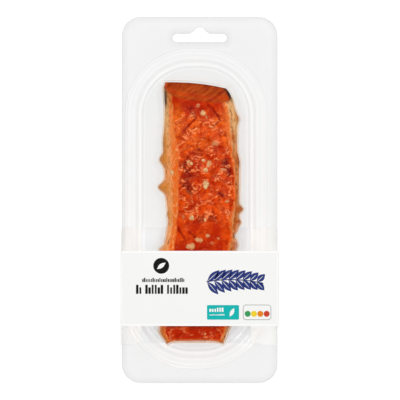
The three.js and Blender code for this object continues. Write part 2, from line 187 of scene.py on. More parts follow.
# Pale bits of set fat that lie on the flesh, as (x, y, half width, half length, how pale)
PALE_BITS = [
    (-1, 58.4, 1.2, 1.4, 0.35), (2.1, 53.7, 1.8, 2, 0.8), (4.2, 51.2, 0.7, 1.4, 0.3),
    (9.5, 35, 2.5, 1.4, 0.35), (-6.9, 23.7, 1.1, 1, 0.75), (-5.2, 22.6, 1.1, 1.2, 0.9),
    (2.4, 24.5, 1.4, 1, 1), (5.8, 22.4, 1.7, 2.2, 0.6), (3.8, 18.7, 1.4, 1.7, 0.85),
    (14.6, 18.7, 2.1, 1.1, 0.4), (-17.1, 17.2, 1.2, 1.5, 0.95), (3.8, 9.5, 2, 3.1, 0.95),
    (-4.9, -11, 1.4, 1.9, 1), (3.4, -12.4, 0.9, 1.2, 0.9), (-10.2, -10.4, 0.9, 1.2, 0.25),
    (17, -1, 1.4, 0.9, 0.5), (5, -22.1, 1.3, 1.3, 0.7), (-1.3, -24.6, 1.7, 1.5, 0.6),
    (0.8, -25, 1.2, 1.5, 0.6), (-5.5, -28.7, 2.8, 2.3, 0.6), (11.5, -23.8, 0.9, 1, 0.3),
    (7.6, -26.6, 1.5, 1.1, 0.15), (3.3, -82.9, 0.9, 0.9, 0.35),
]
BIT_GRID = {"rings": 8, "spokes": 22}
BIT = {"height": 0.5, "sunk": 0.05, "centre": 0.35, "under": 0.5, "crumbs": 0.5, "lowest": 8}
# Ragged outline of a bit, as (waves round it, their height, how far the next bit's waves are turned)
BIT_WAVES = [(2, 0.08, 1.7), (3, 0.08, 2.9), (5, 0.06, 4.1), (8, 0.03, 1)]

# Sleeve: the front panel is shorter than the back panel
FRONT = {"top": -31.4, "bottom": -77.7}
SLEEVE_FOLD = 20.4
BEND = {"radius": 0.45, "steps": 5}
SLEEVE_BACK = {"left": -36.6, "right": 31.9}
INK = 0.04
SPRIG = {
    "rise": 6, "bow": 7, "stem": 0.35, "leaf": 10.5, "shrink": 3.5, "turns": (0.75, -0.85), "width": 2.0,
    "rib": 0.15,
}

# Photograph: how many clear faces light may cross, the floor, and the camera with its height above the flange
CLEAR_LAYERS = 48
FLOOR = {"radius": 6000, "z": -0.05, "sides": 48, "matte": 0.3}
CAMERA = {"x": 0.2, "y": 0.0, "height": 1200, "lens": 175, "sensor": 36}
# Lights as (name, place and size in metres, field of the stage's look, whether it shines in gloss)
LIGHTS = [
    ("softbox", (0.0, 0.0, 1.5), (1.3, 1.3), "softbox", False),
    ("softbox_left", (-1.0, 0.2, 0.9), (0.6, 1.0), "side_light", False),
    ("softbox_right", (1.0, 0.1, 0.9), (0.6, 1.0), "side_light", False),
    ("sparkle_left", (-0.55, 0.35, 1.0), (0.12, 0.3), "sparkle", True),
    ("sparkle_right", (0.6, 0.25, 1.0), (0.12, 0.3), "sparkle", True),
    ("sparkle_top", (0.1, 0.75, 1.0), (0.3, 0.12), "sparkle", True),
]


def srgb(red, green, blue):
    """A screen colour, 0 to 255, as the linear colour that the shaders take."""
    share = np.array([red, green, blue]) / 255
    linear = np.where(share <= 0.04045, share / 12.92, ((share + 0.055) / 1.055) ** 2.4)
    return tuple(float(v) for v in linear)


def lerp(a, b, share):
    """a where the share is 0, b where it is 1, and a straight line between."""
    return a + (b - a) * share


def ease(low, high, value):
    """Smooth step: 0 up to low, 1 from high on, 3t^2 - 2t^3 between. With low above high it falls instead."""
    t = np.clip((value - low) / (high - low), 0, 1)
    return t * t * (3 - 2 * t)


def bell(distance, size):
    """exp(-(distance / size)^2)."""
    return np.exp(-((distance / size) ** 2))


def lattice(ix, iy, seed):
    """A fixed number from 0 to 1 for each whole point of a lattice, by integer hashing."""
    mixed = (ix * 374761393 + iy * 668265263 + seed * 1442695041) & 0xFFFFFFFF
    mixed = ((mixed ^ (mixed >> 13)) * 1274126177) & 0xFFFFFFFF
    return ((mixed ^ (mixed >> 16)) & 0xFFFF) / 0xFFFF


def swirl(x, y, size, seed):
    """Gradient noise, about -1 to 1: lattice points lean their own ways, and smooth steps join each four."""
    u, v = x / size, y / size
    iu, iv = np.floor(u).astype(np.int64), np.floor(v).astype(np.int64)
    fu, fv = u - iu, v - iv
    su, sv = (t**3 * (t * (6 * t - 15) + 10) for t in (fu, fv))

    def corner(du, dv):
        angle = 2 * math.pi * lattice(iu + du, iv + dv, seed)
        return np.cos(angle) * (fu - du) + np.sin(angle) * (fv - dv)

    return 1.5 * lerp(lerp(corner(0, 0), corner(1, 0), su), lerp(corner(0, 1), corner(1, 1), su), sv)


def noise(x, y, size, seed):
    """The same from 0 to 1."""
    return np.clip(0.5 + 0.5 * swirl(x, y, size, seed), 0, 1)


def layered(x, y, size, seed, octaves=3):
    """Sum of noises, each half the size and half the height of the one before, from 0 to 1."""
    heights = 0.5 ** np.arange(octaves)
    layers = [height * noise(x, y, size * height, seed + i) for i, height in enumerate(heights)]
    return sum(layers) / heights.sum()


def creases(x, y, size, seed, sharp):
    """Wandering ridges from 0 to 1 along the zero lines of a noise whose place is pushed by two others."""
    push = size * 0.55
    moved_x = x + push * swirl(x, y, size * 1.3, seed + 11)
    moved_y = y + push * swirl(x, y, size * 1.3, seed + 12)
    return np.clip(1 - sharp * np.abs(swirl(moved_x, moved_y, size, seed)), 0, 1)


def curve_through(stations, y):
    """Cubic through (y, x) stations, with the slope at each taken from its two neighbours: x at y."""
    ys, xs = np.array(stations, float)[::-1].T
    count = len(ys)
    before = np.maximum(np.arange(count) - 1, 0)
    after = np.minimum(np.arange(count) + 1, count - 1)
    slope = (xs[after] - xs[before]) / (ys[after] - ys[before])
    held = np.clip(y, ys[0], ys[-1])
    i = np.clip(np.searchsorted(ys, held), 1, count - 1)
    run = ys[i] - ys[i - 1]
    part = (held - ys[i - 1]) / run
    chord = (xs[i] - xs[i - 1]) / run
    sway = part * (1 - part) * run * ((1 - part) * (slope[i - 1] - chord) - part * (slope[i] - chord))
    return lerp(xs[i - 1], xs[i], part) + sway


def width_at(bands, y):
    """Straight lines through (y, width) stations."""
    ys, widths = np.array(bands, float)[::-1].T
    return np.interp(y, ys, widths)


def fill_mesh(mesh, points, faces, smooth):
    """Put points in millimetres and faces into a mesh. Faces are (array of corner rows, material number)."""
    corners = np.concatenate([rows.ravel() for rows, _ in faces]).astype(np.int32)
    counts = np.concatenate([np.full(len(rows), rows.shape[1]) for rows, _ in faces])
    slots = np.concatenate([np.full(len(rows), slot) for rows, slot in faces]).astype(np.int32)
    mesh.vertices.add(len(points))
    mesh.vertices.foreach_set("co", (points * MM).astype(np.float32).ravel())
    mesh.loops.add(len(corners))
    mesh.loops.foreach_set("vertex_index", corners)
    mesh.polygons.add(len(counts))
    mesh.polygons.foreach_set("loop_start", np.r_[0, np.cumsum(counts)[:-1]].astype(np.int32))
    mesh.polygons.foreach_set("material_index", slots)
    mesh.polygons.foreach_set("use_smooth", np.full(len(counts), smooth))
    mesh.update(calc_edges=True)


def make_piece(name, points, faces, materials, masks=None, smooth=True):
    """A new object at the origin, with its place in its mesh and its masks as attributes of its points."""
    mesh = bpy.data.meshes.new(name)
    fill_mesh(mesh, points, faces, smooth)
    for material in materials:
        mesh.materials.append(material)
    for label, values in (masks or {}).items():
        attribute = mesh.attributes.new(label, "FLOAT", "POINT")
        attribute.data.foreach_set("value", np.asarray(values, np.float32).ravel())
    piece = bpy.data.objects.new(name, mesh)
    bpy.context.scene.collection.objects.link(piece)
    return piece


def dress(piece, slot, *nodes):
    """The piece rides on the pack and stands for the given solids, which it hides. The slot is not used."""
    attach(piece, BODY)
    if nodes:
        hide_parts(*nodes)


def quads(ids, wrap=False):
    """Quads over a grid of point numbers: rows run along Y and columns along X for faces that look up."""
    right = np.roll(ids, -1, axis=1) if wrap else ids[:, 1:]
    left = ids if wrap else ids[:, :-1]
    return np.stack([left[:-1], right[:-1], right[1:], left[1:]], axis=-1).reshape(-1, 4)


def triangles(rows):
    """Quads as triangles, without those that have no area."""
    both = np.concatenate([rows[:, [0, 1, 2]], rows[:, [0, 2, 3]]])
    real = (both[:, 0] != both[:, 1]) & (both[:, 1] != both[:, 2]) & (both[:, 0] != both[:, 2])
    return both[real]


def drop_loose(points, faces, masks):
    """Leave out the points that no face uses, and number the rest again."""
    used = np.zeros(len(points), bool)
    for rows, _ in faces:
        used[rows.ravel()] = True
    number = np.cumsum(used) - 1
    kept = {label: values[used] for label, values in masks.items()}
    return points[used], [(number[rows], slot) for rows, slot in faces], kept


class Wire:
    """The output socket of a node, with arithmetic that adds Math nodes."""

    def __init__(self, graph, socket):
        self.graph = graph
        self.socket = socket

    def math(self, operation, *values):
        made = self.graph.node("Math", {"operation": operation}, dict(enumerate(values)))
        return Wire(self.graph, made.outputs[0])

    def __add__(self, other):
        return self.math("ADD", self, other)

    def __sub__(self, other):
        return self.math("SUBTRACT", self, other)

    def __rsub__(self, other):
        return self.math("SUBTRACT", other, self)

    def __mul__(self, other):
        return self.math("MULTIPLY", self, other)

    def __pow__(self, other):
        return self.math("POWER", self, other)

    __radd__ = __add__
    __rmul__ = __mul__

    def size(self):
        return self.math("ABSOLUTE", self)

    def above(self, floor):
        return self.math("MAXIMUM", self, floor)

    def below(self, ceiling):
        return self.math("MINIMUM", self, ceiling)

    def ease(self, low, high):
        """0 below low, 1 above high, and a smooth step between."""
        settings = {"interpolation_type": "SMOOTHSTEP"}
        made = self.graph.node("MapRange", settings, {"Value": self, "From Min": low, "From Max": high})
        return Wire(self.graph, made.outputs["Result"])


class Graph:
    """A material and its nodes."""

    def __init__(self, name):
        self.material = bpy.data.materials.new(name)
        self.material.use_nodes = True
        self.tree = self.material.node_tree
        self.tree.nodes.clear()

    def node(self, kind, settings=None, inputs=None):
        """A node of a kind, with its settings made first and then its sockets given or linked."""
        made = self.tree.nodes.new("ShaderNode" + kind)
        for name, value in (settings or {}).items():
            setattr(made, name, value)
        for name, value in (inputs or {}).items():
            if isinstance(value, Wire):
                self.tree.links.new(value.socket, made.inputs[name])
            elif made.inputs[name].type == "RGBA":
                made.inputs[name].default_value = (*value, 1)
            else:
                made.inputs[name].default_value = value
        return made

    def wire(self, kind, output, settings=None, inputs=None):
        return Wire(self, self.node(kind, settings, inputs).outputs[output])

    def mask(self, label):
        """A number that the piece's mesh holds at each of its points."""
        return self.wire("Attribute", "Fac", {"attribute_name": label})

    def place(self):
        return self.wire("TexCoord", "Object")

    def turned(self, angle, scale):
        """Place in the object's space, turned about Z by an angle and then scaled."""
        inputs = {"Vector": self.place(), "Angle": angle}
        turned = self.wire("VectorRotate", "Vector", {"rotation_type": "Z_AXIS"}, inputs)
        return self.wire("VectorMath", "Vector", {"operation": "MULTIPLY"}, {0: turned, 1: scale})

    def grain(self, size, detail=2.0, stretch=(1, 1, 1), angle=0.0):
        """Noise in the object's space, whose patches are about size millimetres across."""
        per_metre = 1 / (size * MM)
        vector = self.turned(angle, tuple(per_metre * s for s in stretch))
        inputs = {"Vector": vector, "Scale": 1.0, "Detail": detail, "Roughness": 0.5}
        return self.wire("TexNoise", "Fac", None, inputs)

    def edge_depth(self, box):
        """Millimetres in from a rounded rectangle's outline.

        With q = |place| - half size + corner, it is corner - length(max(q, 0)) - min(max(qx, qy), 0).
        """
        split = self.node("SeparateXYZ", None, {"Vector": self.place()})
        x, y = Wire(self, split.outputs["X"]), Wire(self, split.outputs["Y"])
        across = (x * (1 / MM) - box["x"]).size() - (box["width"] / 2 - box["corner"])
        along = (y * (1 / MM) - box["y"]).size() - (box["length"] / 2 - box["corner"])
        beyond = (across.above(0.0) ** 2 + along.above(0.0) ** 2) ** 0.5
        within = across.above(along).below(0.0)
        return box["corner"] - beyond - within

    def blend(self, factor, a, b):
        """Colour a where the factor is 0 and colour b where it is 1."""
        inputs = {0: factor, 6: a, 7: b}
        made = self.node("Mix", {"data_type": "RGBA", "clamp_factor": True}, inputs)
        return Wire(self, made.outputs[2])

    def bump(self, height, distance, normal=None):
        """A normal that leans as if the surface were raised by height times distance, in millimetres."""
        inputs = {"Height": height, "Distance": distance * MM, "Strength": 1.0}
        if normal:
            inputs["Normal"] = normal
        return self.wire("Bump", "Normal", None, inputs)

    def shader(self, kind, inputs):
        return Wire(self, self.node(kind, None, inputs).outputs[0])

    def mix(self, factor, a, b):
        return Wire(self, self.node("MixShader", None, {0: factor, 1: a, 2: b}).outputs[0])

    def cells(self, angle, scale):
        """Distance to the nearest of many scattered points, for scales and crumbs."""
        inputs = {"Vector": self.turned(angle, scale), "Scale": 1.0}
        return self.wire("TexVoronoi", "Distance", {"feature": "F1"}, inputs)

    def principled(self, colour, inputs):
        """Finish the material with the general shader."""
        return self.finish(self.shader("BsdfPrincipled", {"Base Color": colour, **inputs}))

    def finish(self, shader):
        self.node("OutputMaterial", None, {"Surface": shader})
        return self.material


def gloss_share(graph, low, high):
    """Share of the light that a clear surface reflects, by Schlick's rule: low head-on, high at a glance."""
    facing = graph.wire("LayerWeight", "Facing", None, {"Blend": 0.5})
    return low + (high - low) * facing**5


def clear_plastic(look):
    """Clear sheet: lines let fully through along its bends as a painted highlight, and a little grey towards
    its cut edges and on its steep walls as painted shade.
    """
    graph = Graph("clear_tray")
    bend = graph.mask("bend")
    steep = graph.mask("steep")
    rim = 1 - graph.edge_depth(PACK).ease(0.0, EDGE_SHADE_FADE)
    hole = {"x": 0, "y": HANG_HOLE["y"], "width": 2 * HANG_HOLE["half"], "length": 2 * HANG_HOLE["round"]}
    hole["corner"] = HANG_HOLE["round"]
    rim = rim.above(1 - (0 - graph.edge_depth(hole)).ease(0.0, EDGE_SHADE_FADE))
    painted_shade = graph.shader("BsdfDiffuse", {"Color": srgb(150, 152, 153)})
    through = graph.shader("BsdfTransparent", {"Color": look.tray_tint})
    bend_highlight = graph.shader("BsdfTransparent", {"Color": (1.0, 1.0, 1.0)})
    # Grey mixed in is painted shade: towards the cut edges of the flange and the hang hole, and on the steep
    # walls
    sheet = graph.mix(0.055 * rim + 0.06 * graph.mask("edge") + 0.02 * steep, through, painted_shade)
    # Along the bends the sheet lets all the light through: a painted highlight for the bright lines there
    sheet = graph.mix(bend, sheet, bend_highlight)
    gloss = graph.shader("BsdfAnisotropic", {"Color": (1.0, 1.0, 1.0), "Roughness": 0.12})
    return graph.finish(graph.mix(gloss_share(graph, 0.02, 0.1), sheet, gloss))


def clear_film(look):
    """Film that clings to the food: glossy on its crests, with a pale painted halo where it stands steep and
    at its foot.
    """
    graph = Graph("clear_film")
    through = graph.shader("BsdfTransparent", {"Color": look.film_tint})
    # A lit pale layer mixed into the film where it stands steep or at its foot: a painted halo round the
    # fillet's outline
    front = graph.shader("BsdfDiffuse", {"Color": look.film_halo})
    behind = graph.shader("BsdfTranslucent", {"Color": look.film_halo})
    painted_halo = graph.mix(0.5, front, behind)
    glance = graph.wire("LayerWeight", "Facing", None, {"Blend": 0.5}).ease(0.5, 0.9)
    halo_share = graph.mask("steep") * (0.08 + 0.87 * glance) + 0.75 * graph.mask("foot")
    sheet = graph.mix(halo_share.below(0.95), through, painted_halo)
    ripple = graph.bump(graph.mask("crest"), 0.4)
    ripple = graph.bump(graph.grain(2.0, 1.0), 0.25, ripple)
    gloss = graph.shader("BsdfAnisotropic", {"Color": (1.0, 0.95, 0.9), "Roughness": 0.28, "Normal": ripple})
    share = gloss_share(graph, 0.022, 0.1) * graph.mask("outside") * (0.08 + 1.15 * graph.mask("crest"))
    return graph.finish(graph.mix(share, sheet, gloss))


def overlay(graph, look, colour, **layers):
    """Lay colours of the look over a colour, in order, each where the mask of its name says."""
    for mask, field in layers.items():
        colour = graph.blend(graph.mask(mask), colour, getattr(look, field))
    return colour


def smoked_flesh(look):
    """Wet smoked flesh: deep orange with painted light along its shoulders, pale creases that are partly
    paler flesh and partly painted highlight, painted shade in its grooves, seared spots, and tan or amber
    sides with painted glints.
    """
    graph = Graph("smoked_flesh")
    fibre = graph.grain(1.1, 3.0, (1.0, 0.5, 0.0), 0.5)
    colour = overlay(graph, look, look.flesh_deep, tone="flesh_main", bright="flesh_lit_bright",
                     groove="crack", seared="seared", crest="crest_and_highlight")
    cut_grain = graph.grain(1.8, 2.0, (1.0, 0.2, 0.0), 0.9)
    cut_face = graph.blend(cut_grain.ease(0.3, 0.75), look.cut_dark, look.cut_light)
    colour = graph.blend(graph.mask("cut"), colour, cut_face)
    side = overlay(graph, look, look.side_orange, tan="side_tan")
    mottle = graph.grain(2.0, 3.0, (1.2, 0.7, 1.0))
    side = graph.blend(mottle.ease(0.52, 0.7) * 0.65, side, look.side_brown)
    # Pale flecks on the side bands: painted glints
    side = graph.blend(0.6 * (1 - mottle.ease(0.3, 0.45)), side, look.side_glint)
    colour = graph.blend(graph.mask("band"), colour, side)
    streak = graph.grain(1.3, 3.0, (1.0, 0.4, 1.0), 0.15)
    # Flecks of the crest colour along the strips: painted glints
    strip = graph.blend(streak.ease(0.52, 0.68), look.strip, look.crest_and_highlight)
    strip = graph.blend(1 - streak.ease(0.32, 0.46), strip, look.flesh_main)
    colour = graph.blend(graph.mask("strip"), colour, strip)
    colour = overlay(graph, look, colour, amber="amber", rust="rust", seam="side_brown", skin="skin")
    return graph.principled(colour, {
        "Roughness": 0.4,
        "Normal": graph.bump(fibre, 0.25),
        "Specular IOR Level": 0.02,
        "Coat Weight": graph.mask("amber"),
        "Coat Roughness": 0.15,
        "Subsurface Weight": 0.1,
        "Subsurface Radius": (1.0, 0.3, 0.1),
        "Subsurface Scale": 1.0 * MM,
    })


def set_fat(look):
    """Pale crumbly bits: cream lumps with brown cracks between them, and painted shade towards each bit's
    rim. The clearer bits show the flesh.
    """
    graph = Graph("set_fat")
    lumps = graph.cells(0.4, (1100.0, 1100.0, 1100.0))
    crumb = graph.grain(0.7, 3.0)
    # Brown cracks and crumbs, and painted shade towards the rim
    brown_and_shade = (lumps.ease(0.4, 0.8) * 0.5 + crumb.ease(0.5, 0.75) * 0.3 + graph.mask("rim") * 0.5).below(1.0)
    colour = graph.blend(brown_and_shade, look.bit, look.bit_rim_and_shade)
    colour = overlay(graph, look, colour, clear="bit_clear")
    bump = graph.bump(crumb - lumps, 0.3)
    return graph.principled(colour, {"Roughness": 0.35, "Normal": bump, "Specular IOR Level": 0.3})


def fish_skin(look):
    """Dark skin with small scales."""
    graph = Graph("fish_skin")
    scales = graph.cells(0.0, (450.0, 330.0, 1.0))
    colour = graph.blend(scales.ease(0.1, 0.7), look.skin_pale, look.skin)
    bump = graph.bump(scales, 0.25)
    return graph.principled(colour, {"Roughness": 0.35, "Normal": bump, "Coat Weight": 0.4})


def sleeve_paper(look):
    """Smooth coated card, with a faint felt of fibres."""
    graph = Graph("sleeve_paper")
    felt = graph.bump(graph.grain(0.7, 4.0, (1.0, 0.6, 1.0)), 0.02)
    return graph.principled(look.paper, {"Roughness": 0.6, "Specular IOR Level": 0.2, "Normal": felt})


def thin_paper(name, colour, share):
    """The sleeve's unprinted sides and back, which let a share of the light through."""
    graph = Graph(name)
    front = graph.shader("BsdfDiffuse", {"Color": colour})
    through = graph.shader("BsdfTranslucent", {"Color": colour})
    return graph.finish(graph.mix(share, front, through))


def ink(name, colour):
    """Flat printed ink with a little sheen."""
    return Graph(name).principled(colour, {"Roughness": 0.55, "Specular IOR Level": 0.15})


def studio_white(look):
    """Floor that glows a little in the picture and more on the pack, and takes soft shadows."""
    graph = Graph("studio_white")
    seen = graph.shader("Emission", {"Color": (1.0, 1.0, 1.0), "Strength": look.floor_seen})
    lit = graph.shader("Emission", {"Color": (1.0, 1.0, 1.0), "Strength": look.floor_light})
    glow = graph.mix(graph.wire("LightPath", "Is Camera Ray"), lit, seen)
    matte = graph.shader("BsdfDiffuse", {"Color": (FLOOR["matte"],) * 3})
    both = graph.node("AddShader", None, {0: glow, 1: matte})
    return graph.finish(Wire(graph, both.outputs[0]))


def rounded_loop(box, inset):
    """Rounded rectangle, counter-clockwise: each corner's arc keeps its centre at every inset."""
    radius = box["corner"] - inset
    quarter = np.repeat(np.arange(4), CORNER_STEPS + 1)
    angle = (quarter + np.tile(np.linspace(0, 1, CORNER_STEPS + 1), 4)) * math.pi / 2
    side_x = np.where((quarter == 0) | (quarter == 3), 1, -1)
    side_y = np.where(quarter < 2, 1, -1)
    x = box["x"] + side_x * (box["width"] / 2 - box["corner"]) + radius * np.cos(angle)
    y = box["y"] + side_y * (box["length"] / 2 - box["corner"]) + radius * np.sin(angle)
    return np.stack([x, y], axis=1)


def arc(x, y, radius, start, end, steps):
    """Points on a circle about a centre, evenly from one angle to another."""
    angle = np.linspace(start, end, steps)
    return np.stack([x + radius * np.cos(angle), y + radius * np.sin(angle)], axis=1)


def bent(start, corner, end, steps):
    """Curve that leans towards a corner: start (1 - t)^2 + corner 2t (1 - t) + end t^2."""
    t = np.linspace(0, 1, steps)[:, None]
    return start * (1 - t) ** 2 + corner * 2 * t * (1 - t) + end * t**2


def hang_hole_loop():
    """Slot with round ends and a dome over its middle, counter-clockwise."""
    hole = HANG_HOLE
    y, flank, blend, shoulder = hole["y"], hole["flank"], hole["blend"], hole["shoulder"]
    top = y + hole["round"]
    elbow, foot = np.array([flank, top]), np.array([flank + blend, top])
    bend = bent(foot, elbow, elbow + [-blend / 2, blend / 2], HOLE_STEPS["bend"])
    end = arc(hole["half"] - hole["round"], y, hole["round"], -math.pi / 2, math.pi / 2, HOLE_STEPS["end"])
    dome = arc(0, hole["dome_y"], hole["dome"], shoulder, math.pi - shoulder, HOLE_STEPS["dome"])
    right = np.concatenate([end, bend])
    return np.concatenate([right, dome, right[::-1] * [-1, 1]])


def outward(loop, reach=1):
    """Unit directions out of a counter-clockwise loop, square to the line between points reach steps off."""
    along = np.roll(loop, -reach, axis=0) - np.roll(loop, reach, axis=0)
    out = np.stack([along[:, 1], -along[:, 0]], axis=1)
    return out / np.linalg.norm(out, axis=1, keepdims=True)


def softened(line, rounds):
    """Chaikin's rule: each round cuts every corner at a quarter and three quarters of its sides."""
    for _ in range(rounds):
        before, after = line[:-1], line[1:]
        cut = np.stack([before * 0.75 + after * 0.25, before * 0.25 + after * 0.75], axis=1).reshape(-1, 2)
        line = np.concatenate([line[:1], cut, line[-1:]])
    return line


def flat_faces(points, loops, facing_up):
    """Triangles of a flat region inside the first loop of point numbers and outside the others."""
    outlines = [(points[loop] * [1, 1, 0]).tolist() for loop in loops]
    ids = np.concatenate(loops)
    rows = ids[np.array(tessellate_polygon(outlines))]
    a, b, c = (points[rows[:, k]][:, :2] for k in range(3))
    area = (b[:, 0] - a[:, 0]) * (c[:, 1] - a[:, 1]) - (b[:, 1] - a[:, 1]) * (c[:, 0] - a[:, 0])
    turned = (area > 0) != facing_up
    rows[turned] = rows[turned][:, ::-1]
    return rows[np.abs(area) > 1e-9]


class Sheet:
    """Points, faces and masks of one mesh, gathered ring by ring."""

    def __init__(self, labels):
        self.points = []
        self.faces = []
        self.masks = {label: [] for label in labels}
        self.count = 0

    def ring(self, plan, z, **values):
        """Add a loop of points at a height. Masks that aren't given are 0."""
        self.points.append(np.column_stack([plan, np.full(len(plan), float(z))]))
        for label, held in self.masks.items():
            held.append(np.full(len(plan), float(values.get(label, 0))))
        ids = np.arange(self.count, self.count + len(plan))
        self.count += len(plan)
        return ids

    def bridge(self, lower, upper):
        self.faces.append((quads(np.stack([lower, upper]), wrap=True), 0))

    def bridges(self, rings, turned):
        """Faces between each ring and the next. Turned, they face the other way."""
        for lower, upper in zip(rings, rings[1:]):
            self.bridge(*(upper, lower) if turned else (lower, upper))

    def arrays(self):
        masks = {label: np.concatenate(held) for label, held in self.masks.items()}
        return np.concatenate(self.points), masks


def wall_profile():
    """The recess wall as rows of inset and depth, how fast it turns, how steep it is, and its direction."""
    line = softened(np.array(WALL, float), 2)
    step = np.gradient(line, axis=0)
    length = np.hypot(step[:, 0], step[:, 1])
    angle = np.unwrap(np.arctan2(step[:, 1], step[:, 0]))
    turn = np.abs(np.gradient(angle)) / np.maximum(length, 0.05)
    bend = np.clip(np.convolve(turn, np.ones(5) / 5, "same") / WALL_TURN, 0, 1)
    steep = np.clip(step[:, 1] / np.maximum(length, 1e-6), 0, 1) ** 2
    return line, bend, steep, step / np.maximum(length, 1e-6)[:, None]


def tray_side(sheet, wall, facing_up):
    """One face of the tray: rings round its edge, round the hang hole, and down the recess to the floor."""
    line, bend, steep, along = wall
    z = FLANGE_TOP if facing_up else FLANGE_TOP - SHEET
    moved = line
    if not facing_up:
        moved = line + SHEET * np.stack([-along[:, 1], along[:, 0]], axis=1)
        moved[[0, -1]] = line[[0, -1]] + [0, SHEET]
    hole = hang_hole_loop()
    out = outward(hole)
    # The edge mask is 1 at the cut edges, where the sheet takes painted shade
    edges = [sheet.ring(rounded_loop(PACK, d), z, edge=1 - d / EDGE_RINGS[-1]) for d in EDGE_RINGS]
    holes = [sheet.ring(hole + d * out, z, edge=1 - d / EDGE_RINGS[-1]) for d in EDGE_RINGS]
    recess = [sheet.ring(rounded_loop(RECESS, -d), z) for d in FLAT_RINGS]
    for (inset, depth), turn, rise in zip(moved, bend, steep):
        recess.append(sheet.ring(rounded_loop(RECESS, inset), FLANGE_TOP - depth, bend=turn, steep=rise))
    inset, depth = moved[-1]
    recess += [sheet.ring(rounded_loop(RECESS, inset + d), FLANGE_TOP - depth) for d in FLAT_RINGS[::-1]]
    sheet.bridges(edges, not facing_up)
    sheet.bridges(holes, facing_up)
    sheet.bridges(recess, not facing_up)
    return edges, holes, recess


def build_tray(look):
    """Flange with its hang hole, recess wall swept round the recess, floor, and the same again underneath."""
    # The bend, steep and edge masks carry the sheet's painted highlight and painted shade
    sheet = Sheet(["bend", "steep", "edge"])
    wall = wall_profile()
    top = tray_side(sheet, wall, True)
    back = tray_side(sheet, wall, False)
    points, masks = sheet.arrays()
    for (edges, holes, recess), facing_up in ((top, True), (back, False)):
        sheet.faces.append((flat_faces(points, [edges[-1], holes[-1], recess[0]], facing_up), 0))
        sheet.faces.append((flat_faces(points, [recess[-1]], facing_up), 0))
    sheet.bridge(back[0][0], top[0][0])
    sheet.bridge(top[1][0], back[1][0])
    tray = make_piece("clear_tray", points, sheet.faces, [clear_plastic(look)], masks)
    dress(tray, "tray", "tray")


def fillet_surface(place, across, level, margin, base, thickness):
    """A point of the fillet, grown by a margin, on a base height, for arrays of places.

    The section is a superellipse: its half width is |cos|^n and its height sin^n of the angle across.
    Place runs from the tail cut, 0, to the head cut, 1. On a cut, level is the share of the height kept.
    The head cut leans along the body by its lean times the depth below the top edge. The tail cut curls in
    on all sides by a power of the depth's share, and has a lobe at each corner that fades with the curl.
    """
    angle = across * math.pi
    side = np.where(across < 0.5, SIDE_ROUND["left"], SIDE_ROUND["right"])
    power = lerp(side, TAIL_CURL["round"], (1 - place) ** TAIL_CURL["round_power"])
    cosine = np.cos(angle)
    reach = -np.sign(cosine) * np.abs(cosine) ** power
    share = np.where((across <= 0) | (across >= 1), 0, np.abs(np.sin(angle)) ** power)
    from_left = (reach + 1) / 2
    drop = 1 - level * share
    thick = thickness - END_THINNING * (2 * place - 1) ** 2
    height = FLESH_BOTTOM - base + thick + margin

    sweep = HEAD_CUT["sweep"] * from_left ** HEAD_CUT["sweep_power"]
    head_edge = HEAD_CUT["edge_y"] - sweep + margin * HEAD_CUT["grow"]
    curl = (1 - place) ** TAIL_CURL["pull_power"] * drop ** TAIL_CURL["curl_power"]
    lobe = TAIL_CUT["lobe"] * np.abs(reach) ** TAIL_CUT["lobe_power"] * (1 - curl)
    tail_edge = TAIL_CUT["edge_y"] - lobe - margin * TAIL_CUT["grow"]
    lean = HEAD_CUT["lean"] * place ** HEAD_CUT["pull_power"] * np.minimum(height * drop, thick + margin)
    y = lerp(tail_edge, head_edge, place) + lean + TAIL_CUT["lean"] * curl * thick

    tuck = TAIL_CUT["tuck"] * curl - margin
    low = 1 - share**2
    left = curve_through(LEFT_EDGE, y) - lumps(LEFT_LUMPS, y) * low + tuck
    right = curve_through(RIGHT_EDGE, y) + lumps(RIGHT_LUMPS, y) * low - tuck
    x = lerp(left, right, from_left)
    return np.stack([x, y, base + height * share * level], axis=-1)


def lumps(rows, y):
    """How far the lumps reach out at y: the sum of a bell for each, as high as it reaches out."""
    return sum(out * bell(y - at, size) for at, out, size in rows)


def even_across(count):
    """Values of across that cut the middle section into steps of the same length."""
    fine = np.linspace(0, 1, 4001)
    line = fillet_surface(np.full(len(fine), 0.5), fine, 1.0, 0, FLESH_BOTTOM, THICKNESS)
    gone = np.r_[0, np.cumsum(np.linalg.norm(np.diff(line[:, [0, 2]], axis=0), axis=1))]
    return np.interp(np.linspace(0, gone[-1], count + 1), gone, fine)


def fillet_grid(grid, margin, base, thickness):
    """Rows of the fillet's surface from the foot of the tail cut to the foot of the head cut."""
    across = even_across(grid["across"])
    tail_level = np.linspace(0, 1, grid["tail"], endpoint=False)
    head_level = np.linspace(1, 0, grid["head"] + 1)[1:]
    body = np.linspace(0, 1, grid["along"] + 1)
    place = np.r_[np.zeros(grid["tail"]), body, np.ones(grid["head"])]
    level = np.r_[tail_level, np.ones(len(body)), head_level]
    rows, columns = np.meshgrid(place, across, indexing="ij")
    levels = np.repeat(level[:, None], len(across), axis=1)
    points = fillet_surface(rows, columns, levels, margin, base, thickness)
    ids = np.arange(points.shape[0] * points.shape[1]).reshape(points.shape[:2])
    first, last = grid["tail"], grid["tail"] + grid["along"]
    for side in (0, -1):
        ids[:first, side] = ids[first, side]
        ids[last + 1:, side] = ids[last, side]
    return points, ids, levels


def surface_normals(points):
    """Unit normals of a grid: the columns' direction crossed with the rows' direction."""
    along_row = np.gradient(points, axis=1)
    along_column = np.gradient(points, axis=0)
    normal = np.cross(along_row, along_column)
    length = np.linalg.norm(normal, axis=-1, keepdims=True)
    return np.where(length > 1e-9, normal / np.maximum(length, 1e-9), 0)


